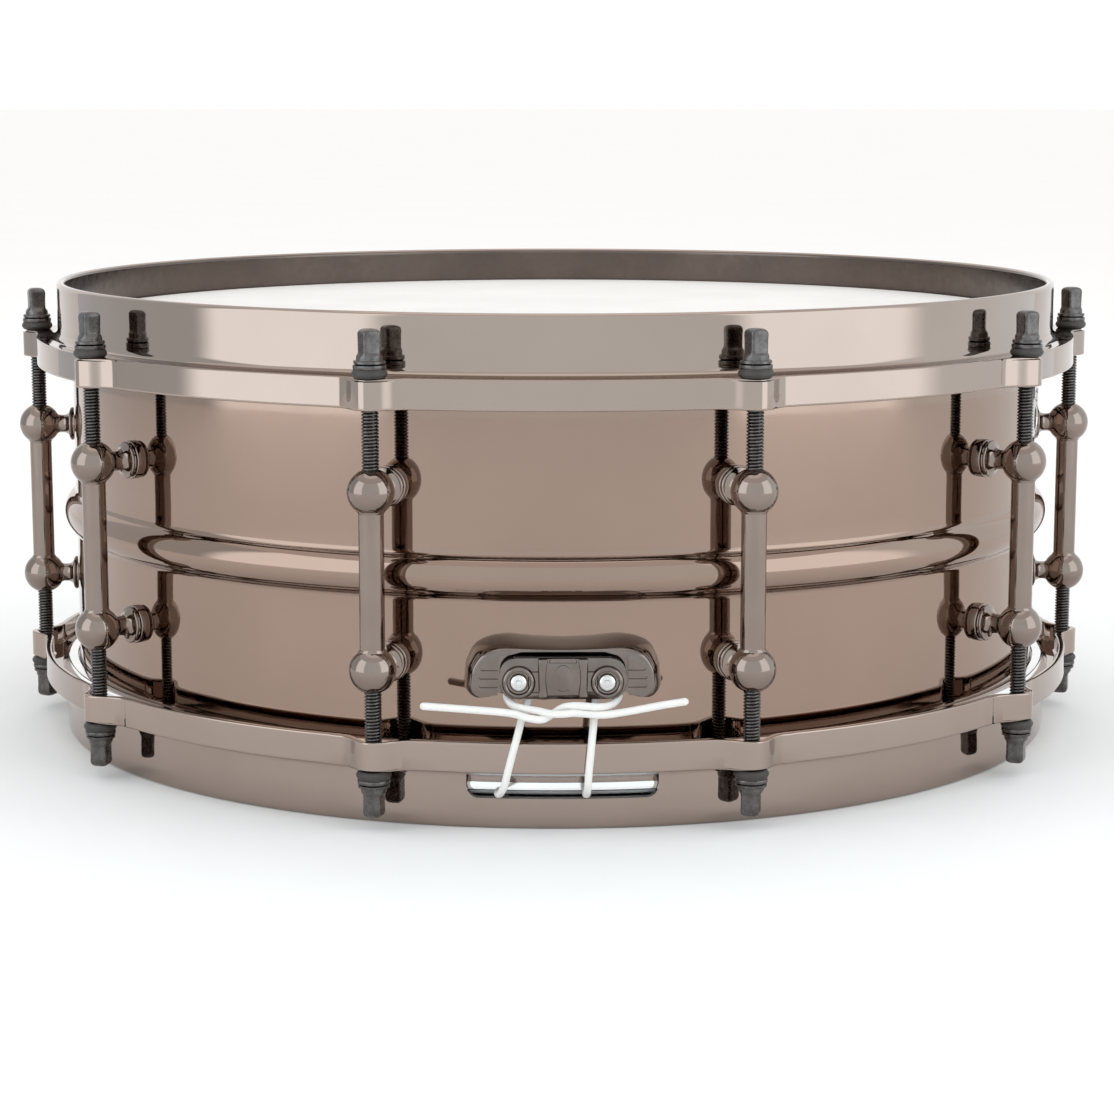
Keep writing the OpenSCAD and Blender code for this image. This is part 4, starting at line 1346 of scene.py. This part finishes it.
@dataclass
class Strainer:
    """The strainer on the far side: housing, lever, carriage, knob and jaw. It faces +Y."""

    mouth: float = 193.0
    cover: float = 195.5
    half: float = 17.0
    pivot_z: float = 62.0
    arm: float = 48.0

    def facing(self) -> Matrix:
        """Frame whose Y is the drum's Z and whose Z points to the back."""
        return Matrix.Rotation(math.pi, 4, "Z") @ Matrix.Rotation(math.pi / 2, 4, "X")

    def plate(self, half: float, low: float, high: float, corner: float) -> list[Flat]:
        """Rounded rectangle about X zero between two heights."""
        return rounded((half, (high - low) / 2), corner, 6, (0, (low + high) / 2))

    def housing(self) -> None:
        """Makes the housing with its channel and cover."""
        blank = Blank()
        place = self.facing()
        blank.solid(self.plate(self.half, 33.0, 71.0, 4.0), 174.0, 184.0, 0.8, place)
        for side in (-1, 1):
            corners = ((10.0, 33.2), (16.9, 36.5), (16.9, 67.5), (10.0, 70.9))
            wall = [(side * x, z) for x, z in corners]
            blank.solid(wall if side > 0 else wall[::-1], 183.0, self.mouth, 0.9, place)
        blank.solid(self.plate(self.half - 0.1, 52.0, 70.9, 4.0), self.mouth, self.cover, 0.7,
            place)
        disc = [(0.01, 195.3), (10.6, 195.3), (10.6, 195.45), (9.8, 195.5), (0.01, 195.5)]
        blank.lathe(disc, place @ Matrix.Translation((0, self.pivot_z, 0)), 48)
        settle(blank.make("strainer_housing", BLACK_NICKEL, 35), "drum", "black_nickel",
            "strainer_base")

    def lever(self) -> None:
        """Makes the lever with its hub, waisted arm and round tip."""
        blank = Blank()
        place = self.facing()
        hub = place @ Matrix.Translation((0, self.pivot_z, 0))
        profile = [(3.1, 195.8), (8.6, 195.8), (9.0, 196.3), (9.0, 198.2), (8.4, 199.0),
            (7.4, 199.2), (3.1, 199.2)]
        blank.lathe(profile, hub, 56, True)
        left: list[Flat] = []
        for k in range(13):
            t = k / 12
            waist = 7.6 - 4.4 * math.sin(math.pi * min(1.0, t * 1.15) / 2) + 1.6 * t * t
            left.append((waist, self.pivot_z + 2 + 44 * t))
        tip = arc((0, self.pivot_z + self.arm), 5.4, 20, 160, 12)
        outline = left + tip + [(-x, z) for x, z in left[::-1]]
        blank.solid(outline, 196.5, 198.8, 0.7, place)
        settle(blank.make("strainer_lever_arm", BLACK_NICKEL, 35), "strainer_lever", "black_nickel",
            "strainer_lever")
        pin = Blank()
        pin_side = [(0.001, 193.0), (3.0, 193.0), (3.0, 199.4), (4.3, 199.4), (4.6, 199.7),
            (4.5, 200.3)]
        pin.lathe(pin_side + [(3.8, 200.8), (0.001, 200.8)], hub, 40)
        settle(pin.make("strainer_pivot_pin", BRIGHT, 35), "drum", "bright_nickel",
            "strainer_pivot")

    def sliders(self) -> None:
        """Makes the carriage, the knurled knob, the jaw and its screws."""
        place = self.facing()
        carriage = Blank()
        carriage.block((-9.6, 184.3, 38.0), (9.6, 192.7, 66.0), 0.7)
        settle(
            carriage.make("strainer_carriage_block", BLACK_NICKEL, 35),
            "strainer_carriage", "black_nickel", "strainer_carriage",
        )
        knob = Blank()
        rings = []
        for z, radius, knurl in (
            (55.0, 2.0, 0), (78.5, 2.0, 0), (78.5, 5.0, 0), (78.9, 5.3, 1), (80.5, 5.35, 1),
            (82.5, 5.35, 1), (84.8, 5.35, 1), (85.3, 5.1, 0), (85.8, 4.5, 0), (86.0, 3.4, 0),
            (85.6, 2.6, 0), (85.6, 0.01, 0),
        ):
            ring = []
            for a in turns(96):
                r = radius - (0.3 * (0.5 + 0.5 * math.cos(a * 24)) if knurl else 0)
                ring.append(Vector((r * math.cos(a), 188.5 + r * math.sin(a), z)))
            rings.append(ring)
        knob.grid(rings)
        settle(knob.make("strainer_knob_knurled", BLACK_NICKEL, 40), "strainer_knob",
            "black_nickel", "strainer_knob")
        jaw = Blank()
        jaw.solid(self.plate(9.4, 39.0, 50.5, 1.6), 193.3, 196.3, 0.6, place)
        settle(jaw.make("strainer_jaw_plate", BLACK_NICKEL, 35), "strainer_jaw", "black_nickel",
            "strainer_jaw")
        for side, name in ((1, "strainer_jaw_screw_left"), (-1, "strainer_jaw_screw_right")):
            screw = Blank()
            seat = place @ Matrix.Translation((side * 6.0, 45.0, 0))
            profile = [(0.001, 188.5), (1.6, 188.5), (1.6, 196.3), (2.6, 196.3), (2.7, 196.6),
                (2.65, 197.7)]
            profile += [(2.2, 198.3), (1.3, 198.5), (1.3, 197.2), (0.001, 197.2)]
            screw.lathe(profile, seat, 36)
            settle(screw.make(name + "_head", BLACKENED, 35), name.replace("strainer_", ""),
                "blackened_steel", name)

    def build(self) -> None:
        """Makes every part of the strainer."""
        self.housing()
        self.lever()
        self.sliders()


@dataclass
class SnareSet:
    """Twenty coiled wires, two end plates and the strap to the strainer."""

    wires: int = 20
    pitch: float = 2.1
    length: float = 300.0
    height: float = 8.8
    coil: float = 0.95
    turn: float = 2.0
    strap: Sequence[Flat] = (
        (159.5, 8.3), (176, 8.6), (178.5, 9.3), (179.6, 10.4), (182.8, 10.8), (191.1, 17),
        (191.3, 20), (192, 32), (193, 37), (193, 50),
    )

    def coils(self) -> None:
        """Makes the wires as ridged coils."""
        blank = Blank()
        rows = int(self.length / self.turn * 4)
        for wire in range(self.wires):
            x = (wire - (self.wires - 1) / 2) * self.pitch
            rings = []
            for i in range(rows + 1):
                y = -self.length / 2 + self.length * i / rows
                ring = []
                for a in turns(8):
                    ridge = 0.5 + 0.5 * math.cos(2 * math.pi * y / self.turn - a)
                    r = self.coil - 0.3 * (1 - ridge)
                    ring.append(Vector((x + r * math.cos(a), y, self.height + r * math.sin(a))))
                rings.append(ring)
            blank.grid(rings)
            blank.cap(rings[0])
            blank.cap(rings[-1])
        settle(blank.make("snare_wire_coils", SNARE_STEEL, 80), "snares", "snare_steel",
            "snare_wires")

    def plates(self) -> None:
        """Makes both end plates with a folded lip and four rivets."""
        for sign, node in ((-1, "snare_plate_butt"), (1, "snare_plate_strainer")):
            blank = Blank()
            near, far = 150.0, 159.0
            low, high = sorted((sign * near, sign * far))
            blank.block((-22, low, 8.2), (22, high, 9.4), 0.35)
            lip_low, lip_high = sorted((sign * near, sign * (near + 2.2)))
            blank.block((-21.8, lip_low, 8.05), (21.8, lip_high, 9.4), 0.3)
            for x in (-17, -6, 6, 17):
                place = Matrix.Translation((x, sign * 155.5, 8.8))
                blank.lathe([(1.1, -0.75), (2.0, -0.72), (2.1, -0.5), (1.1, -0.45)], place, 24,
                    True)
            settle(blank.make(node + "_folded", BRASS, 35), "snares", "brass", node)

    def ribbon(self) -> None:
        """Makes the strap along a bent path from the drum to the snares."""
        path = smooth_route([(0.0, y, z) for y, z in self.strap], 1.0)
        rings = []
        half, thick = 8.0, 0.25
        lower = [(-half, -0.6), (-half + 0.2, -1), (half - 0.2, -1), (half, -0.6)]
        section = lower + [(x, -lift) for x, lift in lower[::-1]]
        for i, point in enumerate(path):
            ahead = (path[min(i + 1, len(path) - 1)] - path[max(i - 1, 0)]).normalized()
            up = Vector((0, -ahead.z, ahead.y)) * thick
            rings.append([point + up * lift + Vector((x, 0, 0)) for x, lift in section])
        blank = Blank()
        blank.grid(rings)
        blank.cap(rings[0])
        blank.cap(rings[-1])
        thing = blank.make("snare_strap_ribbon", STRAP, 50)
        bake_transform(thing)
        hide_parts("snare_strap")
        LOG.info("strap bends between drum and snares")

    def build(self) -> None:
        """Makes wires, plates and strap."""
        self.coils()
        self.plates()
        self.ribbon()


def finish_inner_nodes() -> None:
    """Gives the parts inside the drum, kept from the frame, their finishes."""
    kept = {
        "lug_screws": BLACKENED,
        "lug_washers": BRIGHT,
        "butt_mount_screws": BLACKENED,
        "strainer_mount_screws": BLACKENED,
    }
    for name, finish in kept.items():
        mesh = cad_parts[name].data
        mesh.materials.clear()
        mesh.materials.append(finish.build())
        LOG.info("%s keeps its shape", name)


def clear_defaults() -> None:
    """Removes the objects a new file starts with."""
    for name in ("Cube", "Light", "Camera"):
        thing = bpy.data.objects.get(name)
        if thing:
            bpy.data.objects.remove(thing)


def main() -> None:
    """Builds the whole drum over its frame."""
    logging.basicConfig(level=logging.INFO, format="%(name)s: %(message)s")
    clear_defaults()
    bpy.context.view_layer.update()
    studio = Studio()
    studio.camera()
    TieCord().build()
    studio.build()
    Shell().build()
    Lugs().build()
    for side in Side:
        Hoop(side).build()
        Head(side).build()
    ButtPlate().build()
    Strainer().build()
    SnareSet().build()
    finish_inner_nodes()


if __name__ == "__main__":
    main()
